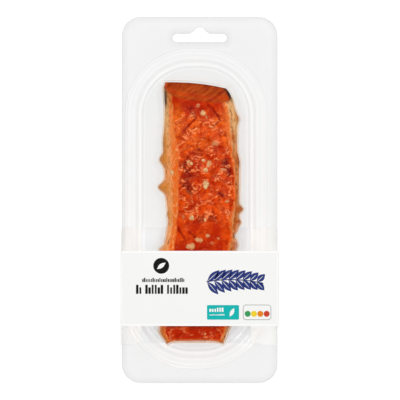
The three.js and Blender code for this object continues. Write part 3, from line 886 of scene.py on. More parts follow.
def foot_loop(ids, grid):
    """The point numbers round the foot of a fillet's surface, counter-clockwise."""
    first, last = grid["tail"], grid["tail"] + grid["along"]
    right = ids[first + 1:last, -1]
    left = ids[first + 1:last, 0][::-1]
    return np.concatenate([ids[0], right, ids[-1][::-1], left])


def distance_to_line(x, y, line):
    """Shortest distance in plan from each point to a line of straight pieces."""
    found = np.full(x.shape, 1e9)
    for (ax, ay), (bx, by) in zip(line, line[1:]):
        dx, dy = bx - ax, by - ay
        t = np.clip(((x - ax) * dx + (y - ay) * dy) / (dx * dx + dy * dy), 0, 1)
        found = np.minimum(found, np.hypot(x - ax - t * dx, y - ay - t * dy))
    return found


def wrinkle_height(x, y):
    """Crumpled relief from 0 to 1, of bent broad and fine ridges, strongest in clusters, and the clusters."""
    bent_x = x + 1.1 * swirl(x, y, 3.3, 43)
    bent_y = 1.4 * y + 1.1 * swirl(x, y, 3.3, 44)
    broad = creases(bent_x, bent_y, 4.4, 41, 2.4)
    fine = creases(bent_x, bent_y, 2.2, 45, 2.2)
    cluster = ease(0.35, 0.65, noise(x, y, 5.5, 49))
    ridges = 0.45 * broad * (0.45 + 0.55 * cluster) + 0.55 * fine * (0.45 + 0.55 * cluster)
    return np.clip(ridges + 0.2 * (layered(x, y, 1.4, 51) - 0.5), 0, 1), cluster


def wrinkle_zone(y):
    """How wrinkled the flesh is: fully in the zone, less on both sides of it, and again at the tail's end."""
    zone = 0.15 + 0.85 * ease(*WRINKLES["from"], y) + 0.5 * ease(*TAIL_END, y)
    return zone * (0.5 + 0.5 * ease(*WRINKLES["to"], y))


class Plan:
    """Where each point of the flesh lies: its place, and how far in it is from the sides and the cuts.

    Left and right are shares of a side band's width: 0 at the outline and 1 where the band ends.
    """

    def __init__(self, points):
        x, y, z = np.moveaxis(points, -1, 0)
        self.x, self.y, self.z = x, y, z
        self.from_tail = y - points[FILLET_GRID["tail"], :, 1]
        self.past_head = y - points[FILLET_GRID["tail"] + FILLET_GRID["along"], :, 1]
        self.left_in = x - curve_through(LEFT_EDGE, y)
        self.right_in = curve_through(RIGHT_EDGE, y) - x
        waver = 1.3 * (self.layered(5, 21) - 0.5)
        self.left = self.left_in / np.maximum(width_at(LEFT_BAND, y) + waver, 0.8)
        self.right = self.right_in / np.maximum(width_at(RIGHT_BAND, y) + waver, 0.8)
        self.head_side = ease(*HEAD_SIDE, y)
        self.ragged = ease(0.3, 0.7, self.layered(3, 29))

    def noise(self, size, seed):
        return noise(self.x, self.y, size, seed)

    def layered(self, size, seed, octaves=3, stretch=1):
        return layered(self.x, self.y * stretch, size, seed, octaves)

    def along(self, middle, size):
        """1 at a place along Y, and less on both sides of it."""
        return bell(self.y - middle, size)

    def spots(self, rows):
        """Sum of round spots, each as (x, y, size, share)."""
        return sum(share * bell(np.hypot(self.x - x, self.y - y), size) for x, y, size, share in rows)


def side_masks(at, cut, tail_rim):
    """The side bands, how tan they are, the strips inside them, their seams, and all their brown parts."""
    top = 1 - cut
    band = np.maximum(ease(1.15, 0.85, at.left), ease(1.2, 0.8, at.right))
    band = np.maximum(band, 0.8 * tail_rim) * top
    tan = (ease(0.8, 0.2, at.left) + ease(1.1, 0.6, at.right)) * (0.3 + 0.7 * at.head_side)
    left_strip = ease(0.5, 0.62, at.left) * ease(1.25, 0.98, at.left) * (1 - 0.5 * at.head_side)
    strip = (left_strip + 0.7 * ease(0.7, 0.95, at.right) * ease(1.5, 1.1, at.right)) * top
    left_seam = bell(at.left - 0.5 - 0.35 * (at.noise(4, 25) - 0.5), 0.08)
    right_seam = bell(at.right - 0.55 - 0.6 * (at.noise(5, 27) - 0.5), 0.13)
    seams = (0.3 * left_seam + 0.7 * right_seam) * at.ragged
    seams = seams + 0.25 * ease(1.2, 0.8, at.right) * (1 - at.head_side)
    seams = seams + 0.3 * ease(*TAIL_SIDE, at.y) * ease(1.1, 0.7, at.left)
    speckle = ease(0.58, 0.75, at.layered(1.7, 33, stretch=0.8)) * (1 - strip)
    head_brown = ease(*HEAD_BROWN, at.y) * (at.x < 0) * (0.2 + 0.6 * ease(0.35, 0.65, at.layered(2, 79)))
    brown = seams + (0.35 * speckle + head_brown) * band + 0.35 * tail_rim
    return band, np.clip(tan, 0, 1), np.clip(strip, 0, 1), seams, np.clip(brown, 0, 1) * top


def juice_masks(at):
    """Amber of the lumps of set juice, and the rust where the juice browned along the right side."""
    amber = sum(at.along(y, size * 1.1) for y, _, size in LEFT_LUMPS) * ease(3.5, 0.5, at.left_in)
    amber = amber + sum(at.along(y, size) for y, _, size in RIGHT_LUMPS) * ease(1.6, 0.2, at.right_in)
    run = ease(*RUST_RUN["from"], at.y) * ease(*RUST_RUN["to"], at.y)
    rust = 0.9 * bell(at.right_in - 1.7, 0.6) * run * (0.5 + 0.5 * at.ragged)
    browned = sum(at.along(y, size) for y, out, size in RIGHT_LUMPS if out > 0) * ease(2.8, 1, at.right_in)
    rust = rust + 0.75 * browned * (1 - at.head_side)
    rust = rust + 0.9 * at.along(*RUST_SPOT) * bell(at.right_in - 2.4, 1.4)
    return 0.85 * np.clip(amber, 0, 1), np.clip(rust, 0, 0.9)


def skin_mask(at, levels):
    """Where the fish's skin turns up over the sides at the head, and shows at the foot of the head cut."""
    left = at.along(*SKIN_EDGE["left"]) * ease(1.4, 0.6, at.left_in)
    right = at.along(*SKIN_EDGE["right"]) * ease(2.6, 1.2, at.right_in) * (at.z < SKIN_EDGE["below"])
    foot = ease(0.1, 0.02, levels) * ease(*SKIN_EDGE["foot"], at.y)
    return np.clip(left + right + 0.35 * foot, 0, 1)


def crumpled(at, band):
    """Relief of the wrinkles, how strong they are, their pale crests, partly paler flesh and partly painted
    highlight, and the dark folds beside them, which take painted shade.
    """
    x, y = at.x, at.y
    relief, cluster = wrinkle_height(x, y)
    wrinkled = wrinkle_zone(y) * (1 - 0.7 * band)
    crest = ease(0.5, 0.8, relief) * (0.25 + 0.75 * ease(0.1, 0.6, cluster))
    wisps = creases(x + 1.1 * swirl(x, y, 2.6, 67), 1.3 * y, 1.6, 69, 2.5) * ease(0.3, 0.6, at.noise(4, 63))
    # Wisps add more pale crest: painted highlight
    crest = np.clip(crest + 0.35 * ease(0.45, 0.9, wisps), 0, 1) * wrinkled * (1 - at.along(*BROW))
    # A patch of stronger painted highlight on the crests
    highlight_patch = bell(x - HIGHLIGHT_SPOT["x"][0], HIGHLIGHT_SPOT["x"][1]) * at.along(*HIGHLIGHT_SPOT["y"])
    crest = np.clip(crest * (1 + 0.8 * highlight_patch) + 0.4 * highlight_patch * ease(0.3, 0.6, relief), 0, 1.3)
    folds = 0.75 * creases(x + 40, y * 1.3, 3.6, 71, 3.0) * ease(0.35, 0.6, at.noise(3, 73))
    folds = folds + 0.5 * creases(x - 40, y * 1.4, 1.9, 75, 2.6) * ease(0.3, 0.6, at.noise(4, 77))
    return relief, wrinkled, crest, folds


def tone_masks(at, relief, wrinkled):
    """How orange the flesh is between its deep and main colours, with painted light and shade from the
    relief, and where it is brighter still, partly with painted highlight along the shoulders.
    """
    patches = at.layered(7, 3, 2, 0.75)
    shade = 2 * at.along(*BROW) + 0.8 * ease(*LOW_SHADE, at.y) + 0.9 * ease(*TAIL_END, at.y)
    shade = shade + 0.7 * at.along(*SLEEVE_SHADE)
    # Lighter on the ridges and darker between them: partly the flesh's own colour and partly painted light
    # and shade
    tone = 0.6 * ease(0.3, 0.72, patches) + 0.9 * (relief - 0.25) * wrinkled
    tone = tone + 0.9 * (at.layered(2, 8, stretch=1.2) - 0.25) - 0.35 * shade + at.spots(TONE_PATCHES)
    # Lighter along the shoulders: partly paler flesh and partly painted highlight
    bright = sum(share * bell(at.x - x, size) * ease(*run, at.y) for x, size, run, share in LIT_SHOULDERS)
    bright = bright * ease(*LIT_SHOULDER_END, at.y)
    run = ease(*BRIGHT_RUN["from"], at.y) * ease(*BRIGHT_RUN["to"], at.y)
    bright = bright + 0.7 * run * ease(0.4, 0.6, patches)
    return np.clip(tone, 0, 1), 0.65 * np.clip(bright, 0, 1)


def opened(at, band, cut, relief):
    """Cracks, the V-shaped seams between the flakes, and the seared spots with their torn rims."""
    crack = sum(bell(distance_to_line(at.x, at.y, line), CRACK["width"]) for line in CRACKS)
    crack = np.clip(crack, 0, 1) * (0.7 + 0.3 * at.noise(2, 57)) * (1 - cut)
    phase = at.y + FLAKES["slope"] * np.abs(at.x - FLAKES["ridge_x"]) + 1.6 * (at.noise(9, 59) - 0.5)
    to_seam = np.abs(phase - FLAKES["pitch"] * np.round(phase / FLAKES["pitch"]))
    flake_seam = bell(to_seam, FLAKES["seam"]) * (1 - band)
    torn = (0.1 + 1.3 * at.layered(2.2, 61)) * (1 - 0.8 * relief)
    seared = np.clip(at.spots((x, y, size * 1.5, 1) for x, y, size in SEARED_SPOTS), 0, 1.1)
    return crack, flake_seam, 0.9 * ease(0.2, 0.85, seared * torn) * (1 - band)


def flesh_masks(points, levels):
    """What shows where on the fillet, from 0 to 1, and the depth of its relief in millimetres."""
    at = Plan(points)
    cut = ease(-2.4, 0.9, at.past_head + 1.8 * (at.layered(2.4, 65) - 0.5))
    tail_rim = ease(1.9, 0.3, at.from_tail) * (0.5 + 0.5 * at.ragged)
    band, tan, strip, seams, brown = side_masks(at, cut, tail_rim)
    relief, wrinkled, crest, folds = crumpled(at, band)
    crack, flake_seam, seared = opened(at, band, cut, relief)
    tone, bright = tone_masks(at, relief, wrinkled)
    amber, rust = juice_masks(at)
    # Darker in the cracks, folds and flake seams: the flesh's deeper red with painted shade
    groove = crack + 0.6 * folds * wrinkled * (1 - crest) + 0.3 * flake_seam

    wave = np.sin(at.x * math.pi / SWELL["across"]) * np.sin(at.y * math.pi / SWELL["along"])
    depth = SWELL["depth"] * (1 + wave) / 2 + FLAKES["depth"] * flake_seam + CRACK["depth"] * crack
    depth = depth + WRINKLES["depth"] * (0.4 - relief + 0.3 * folds) * wrinkled
    depth = depth + 0.3 * seams + 0.2 * at.layered(2, 55) * band + 0.8 * bell(at.past_head, 1.6)
    cut_face = cut * (1 - 0.55 * bell(at.past_head - 2.4, 1.3))
    masks = {
        # Pale crests: partly paler flesh and partly painted highlight
        "band": band, "tan": tan, "strip": strip, "seam": brown, "tone": tone, "crest": 0.62 * crest,
        # Grooves: deeper red with painted shade
        "groove": np.clip(groove, 0, 1), "seared": seared, "amber": amber, "rust": rust,
        # Brighter flesh: random lighter patches, and painted highlight along the shoulders
        "skin": skin_mask(at, levels), "bright": bright, "cut": cut_face,
    }
    return masks, depth * np.minimum(1, np.abs(at.z - FLESH_BOTTOM) / 2)


def build_fillet(look):
    """The fillet's flesh, with its relief moved in along the surface's normal."""
    grid = FILLET_GRID
    points, ids, levels = fillet_grid(grid, 0, FLESH_BOTTOM, look.thickness / MM)
    masks, depth = flesh_masks(points, levels)
    normals = surface_normals(points)
    moved = points - normals * depth[..., None]
    faces = [(triangles(quads(ids)), 0), (foot_loop(ids, grid)[None, ::-1], 0)]
    flat = {label: values.ravel() for label, values in masks.items()}
    shown, faces, flat = drop_loose(moved.reshape(-1, 3), faces, flat)
    flesh = make_piece("smoked_flesh", shown, faces, [smoked_flesh(look)], flat)
    dress(flesh, "flesh", "salmon_flesh")
    return moved, normals


def pale_bit(number, radius, angle, place, normal):
    """Points of one pale bit on a place of the flesh: rings of a low dome, its top and its underside.

    The dome's height is sqrt(1 - radius^2), and its rim is ragged by a sum of sin(waves angle + turn number).
    """
    cx, cy, half_x, half_y, _ = PALE_BITS[number]
    ragged = 1 + sum(height * np.sin(waves * angle + turn * number) for waves, height, turn in BIT_WAVES)
    dx = half_x * radius * ragged * np.cos(angle)
    dy = half_y * radius * ragged * np.sin(angle)
    dome = BIT["height"] * np.sqrt(np.clip(1 - radius**2, 0, 1)) - BIT["sunk"]
    crumbs = BIT["crumbs"] * (layered(cx + dx, cy + dy, 0.8, 81) - 0.5) * (1 - radius**4)
    z = place[2] - (normal[0] * dx + normal[1] * dy) / normal[2] + dome + crumbs
    rings = np.stack([cx + dx, cy + dy, z], axis=-1).reshape(-1, 3)
    return np.concatenate([rings, [[cx, cy, place[2] + BIT["centre"]], [cx, cy, place[2] - BIT["under"]]]])


def build_bits(look, surface, normals):
    """Pale bits, sunk a little into the flesh where each one lies."""
    rings, spokes = BIT_GRID["rings"], BIT_GRID["spokes"]
    radius = np.linspace(0, 1, rings + 1)[1:, None]
    angle = np.linspace(0, 2 * math.pi, spokes, endpoint=False)[None, :]
    places, leans = surface.reshape(-1, 3), normals.reshape(-1, 3)
    too_low = np.where(places[:, 2] > FLESH_BOTTOM + BIT["lowest"], 0, 1e6)
    points = []
    for number, (cx, cy, *_) in enumerate(PALE_BITS):
        nearest = np.argmin(np.hypot(places[:, 0] - cx, places[:, 1] - cy) + too_low)
        points.append(pale_bit(number, radius, angle, places[nearest], leans[nearest]))
    ids = np.arange(rings * spokes).reshape(rings, spokes)
    centre, below = ids.size, ids.size + 1
    fan = np.stack([ids[0], np.roll(ids[0], -1), np.full(spokes, centre)], axis=1)
    foot = np.stack([np.roll(ids[-1], -1), ids[-1], np.full(spokes, below)], axis=1)
    shell = (quads(ids[::-1], wrap=True), fan, foot)
    each = ids.size + 2
    faces = [(rows + each * number, 0) for number in range(len(PALE_BITS)) for rows in shell]
    masks = {
        # 1 at each bit's rim and underside, where painted shade darkens it
        "rim": np.tile(np.r_[np.repeat(radius.ravel() ** 3, spokes), 0, 1], len(PALE_BITS)),
        "clear": np.repeat([1 - pale for *_, pale in PALE_BITS], each),
    }
    bits = make_piece("pale_bits", np.concatenate(points), faces, [set_fat(look)], masks)
    dress(bits, "flesh")


def build_skin(look):
    """The fish's skin: a layer under the flesh with the flesh's outline."""
    grid = FILM_GRID
    points, ids, *_ = fillet_grid(grid, 0, FLESH_BOTTOM, look.thickness / MM)
    plan = points.reshape(-1, 3)[foot_loop(ids, grid)][:, :2]
    layer = Sheet([])
    low = layer.ring(plan, SKIN_BOTTOM)
    high = layer.ring(plan, SKIN_TOP)
    layer.bridge(low, high)
    layer.faces += [(high[None, :], 0), (low[None, ::-1], 0)]
    skin = make_piece("fish_skin", layer.arrays()[0], layer.faces, [fish_skin(look)])
    dress(skin, "fish_skin", "salmon_skin")


def keep_on_floor(plan):
    """Plan points moved in, if need be, so that they lie inside the tray's flat floor."""
    radius = RECESS["corner"] - WALL[-1][0] - GAP
    reach = np.array([RECESS["width"] / 2, RECESS["length"] / 2]) - RECESS["corner"]
    centre = np.array([RECESS["x"], RECESS["y"]])
    middle = np.clip(plan, centre - reach, centre + reach)
    away = plan - middle
    length = np.linalg.norm(away, axis=1, keepdims=True)
    return middle + away * np.minimum(1, radius / np.maximum(length, 1e-9))


def film_brim(plan):
    """Three loops of the brim: its start beside the film's foot, and its outer edge above and below."""
    out = outward(plan, BRIM["reach"])
    start = plan + out * BRIM["start"]
    edge = keep_on_floor(plan + out * BRIM["width"])
    heights = (SKIN_BOTTOM + FILM, SKIN_BOTTOM + FILM, SKIN_BOTTOM)
    return [np.column_stack([loop, np.full(len(loop), z)]) for loop, z in zip((start, edge, edge), heights)]


def build_film(look, thickness):
    """Film over the fillet: an outer and an inner surface, joined by a flat brim on the tray's floor."""
    grid = FILM_GRID
    outer, ids, *_ = fillet_grid(grid, FILM_GAP + FILM, SKIN_BOTTOM + FILM, thickness)
    inner, *_ = fillet_grid(grid, FILM_GAP, SKIN_BOTTOM, thickness)
    normals = surface_normals(outer)
    x, y = outer[..., 0], outer[..., 1]
    calm = ease(0, CRINKLE["flat"], outer[..., 2] - SKIN_BOTTOM - FILM)
    crest = wrinkle_height(x, y)[0] * wrinkle_zone(y) * calm
    waves = (layered(x, y, CRINKLE["size"], 91) - 0.5) * calm + crest - 0.4 * calm
    crinkle = CRINKLE["height"] * normals * waves[..., None]
    outer = outer + crinkle
    inner = inner + crinkle
    count = ids.size
    outer_foot = foot_loop(ids, grid)
    shells = [outer.reshape(-1, 3), inner.reshape(-1, 3)]
    points = np.concatenate(shells + film_brim(shells[0][outer_foot][:, :2]))
    brim = 2 * count + np.arange(3 * len(outer_foot)).reshape(3, -1)
    loops = [outer_foot, *brim, outer_foot + count]
    faces = [(triangles(quads(ids)), 0), (triangles(quads(ids + count))[:, ::-1], 0)]
    faces += [(quads(np.stack([after, before]), wrap=True), 0) for before, after in zip(loops, loops[1:])]

    def padded(*parts):
        """Mask values of the first points, and 0 for the rest."""
        held = np.concatenate([part.ravel() for part in parts])
        return np.r_[held, np.zeros(len(points) - len(held))]

    lean = normals[..., 2]
    # Steep sides, and the foot at the head and the tail, where the film takes its painted halo
    steep = ease(-0.35, -0.05, lean) * ease(0.6, 0.15, lean)
    foot = ease(1.6, 0.5, outer[..., 2] - SKIN_BOTTOM - FILM) * (ease(*FOOT_HEAD, y) + ease(*FOOT_TAIL, y))
    masks = {
        "crest": padded(crest, crest), "steep": padded(steep), "foot": padded(foot),
        "outside": padded(np.ones(count)),
    }
    points, faces, masks = drop_loose(points, faces, masks)
    film = make_piece("clear_film", points, faces, [clear_film(look)], masks)
    dress(film, "film", "skin_film")


def sleeve_path():
    """The middle of the paper in section, from the front panel's left end round the back to its right end."""
    half = SLEEVE_HIGH[0] - PAPER / 2
    top = SLEEVE_HIGH[2] - PAPER / 2
    low = SLEEVE_LOW[2] + PAPER / 2
    left, right = SLEEVE_BACK["left"], SLEEVE_BACK["right"]
    ahead = [(-half, top), (-half, SLEEVE_FOLD), (left, low)]
    return np.array([*ahead, (right, low), (half, SLEEVE_FOLD), (half, top)])


def rounded_path(corners):
    """A closed path with each corner replaced by a bend that starts and ends a radius away from it."""
    before, after = np.roll(corners, 1, axis=0) - corners, np.roll(corners, -1, axis=0) - corners
    start = corners + before / np.linalg.norm(before, axis=1, keepdims=True) * BEND["radius"]
    end = corners + after / np.linalg.norm(after, axis=1, keepdims=True) * BEND["radius"]
    return np.concatenate([bent(*ends, BEND["steps"]) for ends in zip(start, corners, end)])


def build_sleeve(look):
    """A closed paper band, swept along Y, with the front and the right fold cut shorter than the back."""
    path = rounded_path(sleeve_path())
    count, steps = len(path), BEND["steps"]
    heights = (SLEEVE_LOW[1], FRONT["bottom"], FRONT["top"], SLEEVE_HIGH[1])
    points = np.concatenate([np.column_stack([path[:, 0], np.full(count, y), path[:, 1]]) for y in heights])
    ids = np.arange(4 * count).reshape(4, count)
    # The path's first bend is the front's left end, and its fifth is the right fold
    number = np.arange(count)
    is_back = (number > 0) & (number < 4 * steps + 2)
    is_side = (number >= steps // 2) & (number < 5 * steps + 2)
    middle = quads(ids[1:3], wrap=True)
    ends = np.concatenate([quads(ids[:2], wrap=True)[is_back], quads(ids[2:], wrap=True)[is_back]])
    sides = np.concatenate([middle[is_side], ends])[:, ::-1]
    is_low = points[sides, 2].max(axis=1) < 1
    faces = [(middle[~is_side][:, ::-1], 0), (sides[~is_low], 1), (sides[is_low], 2)]
    points, faces, _ = drop_loose(points, faces, {})
    sides_paper = thin_paper("paper_sides", look.paper, 0.8)
    back_paper = thin_paper("paper_back", look.paper_inside, 0.6)
    materials = [sleeve_paper(look), sides_paper, back_paper]
    sleeve = make_piece("paper_sleeve_card", points, faces, materials, smooth=False)
    solidify = sleeve.modifiers.new("card", "SOLIDIFY")
    solidify.thickness = PAPER * MM
    solidify.offset = 0
    dress(sleeve, "paper", "paper_sleeve")


def pill(x, y, half_x, half_y, radius, steps=7):
    """Outline of a rounded rectangle about a centre, counter-clockwise."""
    parts = []
    for quarter, (sx, sy) in enumerate(((1, 1), (-1, 1), (-1, -1), (1, -1))):
        start = quarter * math.pi / 2
        centre_x, centre_y = x + sx * (half_x - radius), y + sy * (half_y - radius)
        parts.append(arc(centre_x, centre_y, radius, start, start + math.pi / 2, steps))
    return np.concatenate(parts)


def leaf(x, y, length, width, turn, steps=9):
    """Outline of a leaf from its foot, along a turned line. Its half width is width times sin(pi t)."""
    t = np.linspace(0, 1, steps)
    half = width * np.sin(math.pi * t)
    there = np.stack([t * length, -half], axis=1)
    back = np.stack([t * length, half], axis=1)[::-1][1:-1]
    line = np.concatenate([there, back])
    cosine, sine = math.cos(turn), math.sin(turn)
    return line @ np.array([[cosine, sine], [-sine, cosine]]) + [x, y]


def add_print(name, shapes, material, layer=1):
    """Thin raised islands of ink: outlines filled flat, with a short wall down to the paper."""
    low, lift = SLEEVE_HIGH[2], INK * layer
    ink_shapes = Sheet([])
    for outline in shapes:
        top = ink_shapes.ring(outline, low + lift)
        foot = ink_shapes.ring(outline, low + lift / 4)
        ink_shapes.faces += [(top[None, :], 0), (foot[None, ::-1], 0)]
        ink_shapes.bridge(foot, top)
    points, _ = ink_shapes.arrays()
    dress(make_piece(name, points, ink_shapes.faces, [material], smooth=False), "paper")


def sprig(x, y, length, pairs):
    """A sprig: a bowed stem, pairs of broad leaves that shrink towards its tip, and each leaf's midrib."""
    steps = np.linspace(0, 1, pairs + 2)
    stem_x = x + length * steps
    stem_y = y + SPRIG["rise"] * steps - SPRIG["bow"] * steps**2
    lower = np.stack([stem_x, stem_y - SPRIG["stem"]], axis=1)
    upper = np.stack([stem_x, stem_y + SPRIG["stem"]], axis=1)
    leaves = [np.concatenate([lower, upper[::-1]])]
    ribs = []
    for i in range(pairs + 1):
        size = SPRIG["leaf"] - SPRIG["shrink"] * i / pairs
        for turn in SPRIG["turns"]:
            foot = (stem_x[i] + 0.4, stem_y[i])
            leaves.append(leaf(*foot, size, SPRIG["width"], turn, 13))
            ribs.append(leaf(*foot, size * 0.8, SPRIG["rib"], turn, 7))
    return leaves, ribs


def marks(left, right, foot, height, pitch, seed):
    """A row of upright strokes, tall or low and thin or broad, with a few gaps."""
    chance = np.random.default_rng(seed)
    strokes = []
    for x in np.arange(left, right, pitch):
        tall, broad, gap = chance.random(3)
        if gap > 0.06:
            half_y = height * (0.5 if tall > 0.6 else 0.36)
            half_x = pitch * (0.4 if broad > 0.4 else 0.3)
            strokes.append(pill(x, foot + half_y, half_x, half_y, pitch * 0.14, 4))
    return strokes


def build_print(look):
    """Plain print: a disc, rows of strokes, a sprig, a badge and a box of dots."""
    add_print("print_panel", [pill(0, -54.5, 47.6, 21.9, 0.4)], ink("ink_panel", look.panel), 0.5)
    black = ink("ink_black", look.ink_black)
    white = ink("ink_white", look.panel)
    add_print("print_disc", [arc(-23.7, -40.6, 4.9, 0, 2 * math.pi, 41)[:-1]], black)
    add_print("print_disc_leaf", [leaf(-26.3, -42.6, 6.6, 1.3, 0.65)], white, 2)
    words = marks(-38.5, -6.5, -57.9, 5.6, 1.9, 5) + marks(-35, -9.4, -50.6, 2.6, 1.05, 8)
    add_print("print_words", words, black)
    leaves, ribs = sprig(4.2, -50.4, 35, 7)
    add_print("print_sprig", leaves, ink("ink_navy", look.ink_navy))
    add_print("print_sprig_ribs", ribs, white, 2)
    add_print("print_badge", [pill(14.4, -69.3, 9.9, 4.5, 0.7)], ink("ink_teal", look.ink_teal))
    signs = marks(6.6, 15.6, -69, 2.6, 1.5, 11) + marks(6.4, 15.6, -71.2, 0.8, 0.8, 12)
    add_print("print_badge_marks", signs + [leaf(18.6, -71.9, 5.8, 1.2, 1.1)], white, 2)
    add_print("print_box", [pill(35.4, -69.3, 8.7, 4.7, 1.9)], ink("ink_grey", look.ink_grey))
    add_print("print_box_inside", [pill(35.4, -69.3, 8.4, 4.4, 1.6)], white, 2)
    for i, colour in enumerate((look.dot_green, look.dot_yellow, look.dot_orange, look.dot_red)):
        dot = arc(29.6 + 3.9 * i, -70.2, 1.85, 0, 2 * math.pi, 25)[:-1]
        add_print(f"print_dot_{i}", [dot], ink(f"ink_dot_{i}", colour), 3)


def build_world(look):
    """White surroundings that the camera sees at full strength and the pack at less."""
    world = bpy.data.worlds.new("studio")
    bpy.context.scene.world = world
    world.use_nodes = True
    tree = world.node_tree
    background = tree.nodes["Background"]
    background.inputs["Color"].default_value = (1, 1, 1, 1)
    ray = tree.nodes.new("ShaderNodeLightPath")
    strength = tree.nodes.new("ShaderNodeMapRange")
    strength.inputs["To Min"].default_value = look.ambient
    tree.links.new(ray.outputs["Is Camera Ray"], strength.inputs["Value"])
    tree.links.new(strength.outputs["Result"], background.inputs["Strength"])
    world.cycles_visibility.glossy = False


def add_to_scene(name, data, place):
    """A new light or camera at a place in metres."""
    made = bpy.data.objects.new(name, data)
    made.location = place
    bpy.context.scene.collection.objects.link(made)
    return made


def build_stage(look):
    """Floor, soft lights, white surroundings and the camera above the pack."""
    sides = FLOOR["sides"]
    rim = arc(0, 0, FLOOR["radius"], 0, 2 * math.pi, sides + 1)[:-1]
    plan = np.column_stack([rim, np.full(sides, FLOOR["z"])])
    floor = make_piece("floor", plan, [(np.arange(sides)[None, :], 0)], [studio_white(look)])
    floor.visible_glossy = False
    build_world(look)

    for name, place, size, power, shines in LIGHTS:
        data = bpy.data.lights.new(name, "AREA")
        data.shape = "RECTANGLE"
        data.size, data.size_y = size
        data.energy = getattr(look, power)
        light = add_to_scene(name, data, place)
        light.visible_glossy = shines
        light.rotation_euler = (-Vector(place)).to_track_quat("-Z", "Y").to_euler()

    lens = bpy.data.cameras.new("camera")
    lens.lens = CAMERA["lens"]
    lens.sensor_width = CAMERA["sensor"]
    place = (CAMERA["x"] * MM, CAMERA["y"] * MM, (FLANGE_TOP + CAMERA["height"]) * MM)
    scene = bpy.context.scene
    scene.camera = add_to_scene("camera", lens, place)
    scene.view_settings.view_transform = "Standard"
    scene.cycles.transparent_max_bounces = CLEAR_LAYERS


def colour_property(name, description, colour):
    return bpy.props.FloatVectorProperty(
        name=name, description=description, subtype="COLOR", size=3, min=0, max=1, default=colour
    )


def number_property(name, description, value, unit="NONE"):
    return bpy.props.FloatProperty(name=name, description=description, default=value, unit=unit)


class TrayLook(bpy.types.PropertyGroup):
    """The clear plastic of the tray and the film."""

    tray_tint: colour_property("Tray tint", "What one face of the tray lets through", (0.949, 0.95, 0.95))
    film_tint: colour_property("Film tint", "What one face of the film lets through", (0.995, 0.99, 0.985))
    # Pale colour of the painted halo along the film's steep sides and foot
    film_halo: colour_property("Film, steep", "Milky look of the film's steep sides", srgb(255, 232, 198))


class FilletLook(bpy.types.PropertyGroup):
    """Sizes and colours of the fillet."""

    thickness: number_property("Thickness", "Thickness in the middle", THICKNESS * MM, "LENGTH")
    flesh_deep: colour_property("Deep flesh", "Flesh between the patches", srgb(189, 38, 3))
    flesh_main: colour_property("Flesh", "Most of the flesh", srgb(245, 88, 11))
    # Lighter flesh, which also paints the highlight along the shoulders
    flesh_lit_bright: colour_property("Bright flesh", "Flesh near the left shoulder", srgb(246, 112, 26))
    # Colour of the pale crests, partly the flesh's own and partly painted highlight, and of the glints on the
    # strips
    crest_and_highlight: colour_property("Creases", "Pale crests of the creases", srgb(255, 168, 108))
    # Deep red with painted shade, for the bottom of the cracks, folds and seams
    crack: colour_property("Cracks", "Bottom of the cracks and seams", srgb(150, 16, 2))
    seared: colour_property("Seared", "Dark spots", srgb(104, 8, 14))
    cut_dark: colour_property("Dark cut", "Fibres of the cut faces", srgb(152, 42, 6))
    cut_light: colour_property("Light cut", "Fibres of the cut faces", srgb(198, 86, 24))
    side_orange: colour_property("Side, inner", "Side bands next to the flesh", srgb(246, 152, 86))
    side_tan: colour_property("Side, outer", "Side bands at the outline", srgb(234, 180, 122))
    side_brown: colour_property("Side, brown", "Brown grain of the side bands", srgb(150, 78, 26))
    rust: colour_property("Rust", "Browned juice at the right side", srgb(204, 78, 4))
    # Pale glints on the side bands: painted highlight
    side_glint: colour_property("Side, flecks", "Pale flecks of the side bands", srgb(255, 196, 150))
    strip: colour_property("Strips", "Pale strips inside the side bands", srgb(232, 118, 46))
    amber: colour_property("Set juice", "Lumps of set juice", srgb(224, 138, 48))
    skin: colour_property("Skin", "Dark of the skin", srgb(46, 34, 26))
    skin_pale: colour_property("Scales", "Pale of the scales", srgb(120, 108, 92))
    bit: colour_property("Pale bits", "Middle of the pale bits", srgb(252, 214, 152))
    # Brown of the cracks, also the painted shade at each bit's rim
    bit_rim_and_shade: colour_property("Pale bits' rim", "Rim of the pale bits", srgb(196, 104, 48))
    bit_clear: colour_property("Bits, clear", "Flesh that shows through a bit", srgb(208, 76, 0))


class SleeveLook(bpy.types.PropertyGroup):
    """Colours of the sleeve and its print."""

    paper: colour_property("Paper", "The card", srgb(253, 253, 252))
    # A touch greyer than the front's card
    paper_inside: colour_property("Back panel", "The uncoated back", srgb(247, 248, 249))
    panel: colour_property("Panel", "Printed ground of the front", srgb(246, 246, 244))
    ink_black: colour_property("Black", "Disc and strokes", srgb(24, 24, 22))
    ink_navy: colour_property("Navy", "Sprig", srgb(43, 58, 125))
    ink_teal: colour_property("Teal", "Badge", srgb(12, 182, 179))
    ink_grey: colour_property("Grey", "Outline of the box", srgb(120, 120, 120))
    dot_green: colour_property("First dot", "Dot in the box", srgb(60, 155, 90))
    dot_yellow: colour_property("Second dot", "Dot in the box", srgb(242, 209, 45))
    dot_orange: colour_property("Third dot", "Dot in the box", srgb(232, 134, 24))
    dot_red: colour_property("Fourth dot", "Dot in the box", srgb(204, 64, 40))


class StageLook(bpy.types.PropertyGroup):
    """Light on the pack."""

    floor_seen: number_property("Floor, seen", "Glow in the picture", 0.76)
    floor_light: number_property("Floor, light", "Glow that lights the pack", 1.2)
    ambient: number_property("Ambient", "Strength of the surroundings", 0.42)
    softbox: number_property("Softbox", "Power overhead", 7.0, "POWER")
    side_light: number_property("Side lights", "Power of each", 1.2, "POWER")
    sparkle: number_property("Sparkle", "Power of each small light", 1.5, "POWER")


class FILLETPACK_OT_tray(bpy.types.Operator):
    """Make the clear stepped tray"""

    bl_idname = "fillet_pack.tray"
    bl_label = "Clear Tray"
    bl_options = {"REGISTER", "UNDO"}

    def execute(self, context):
        build_tray(context.scene.fillet_pack_tray)
        return {"FINISHED"}


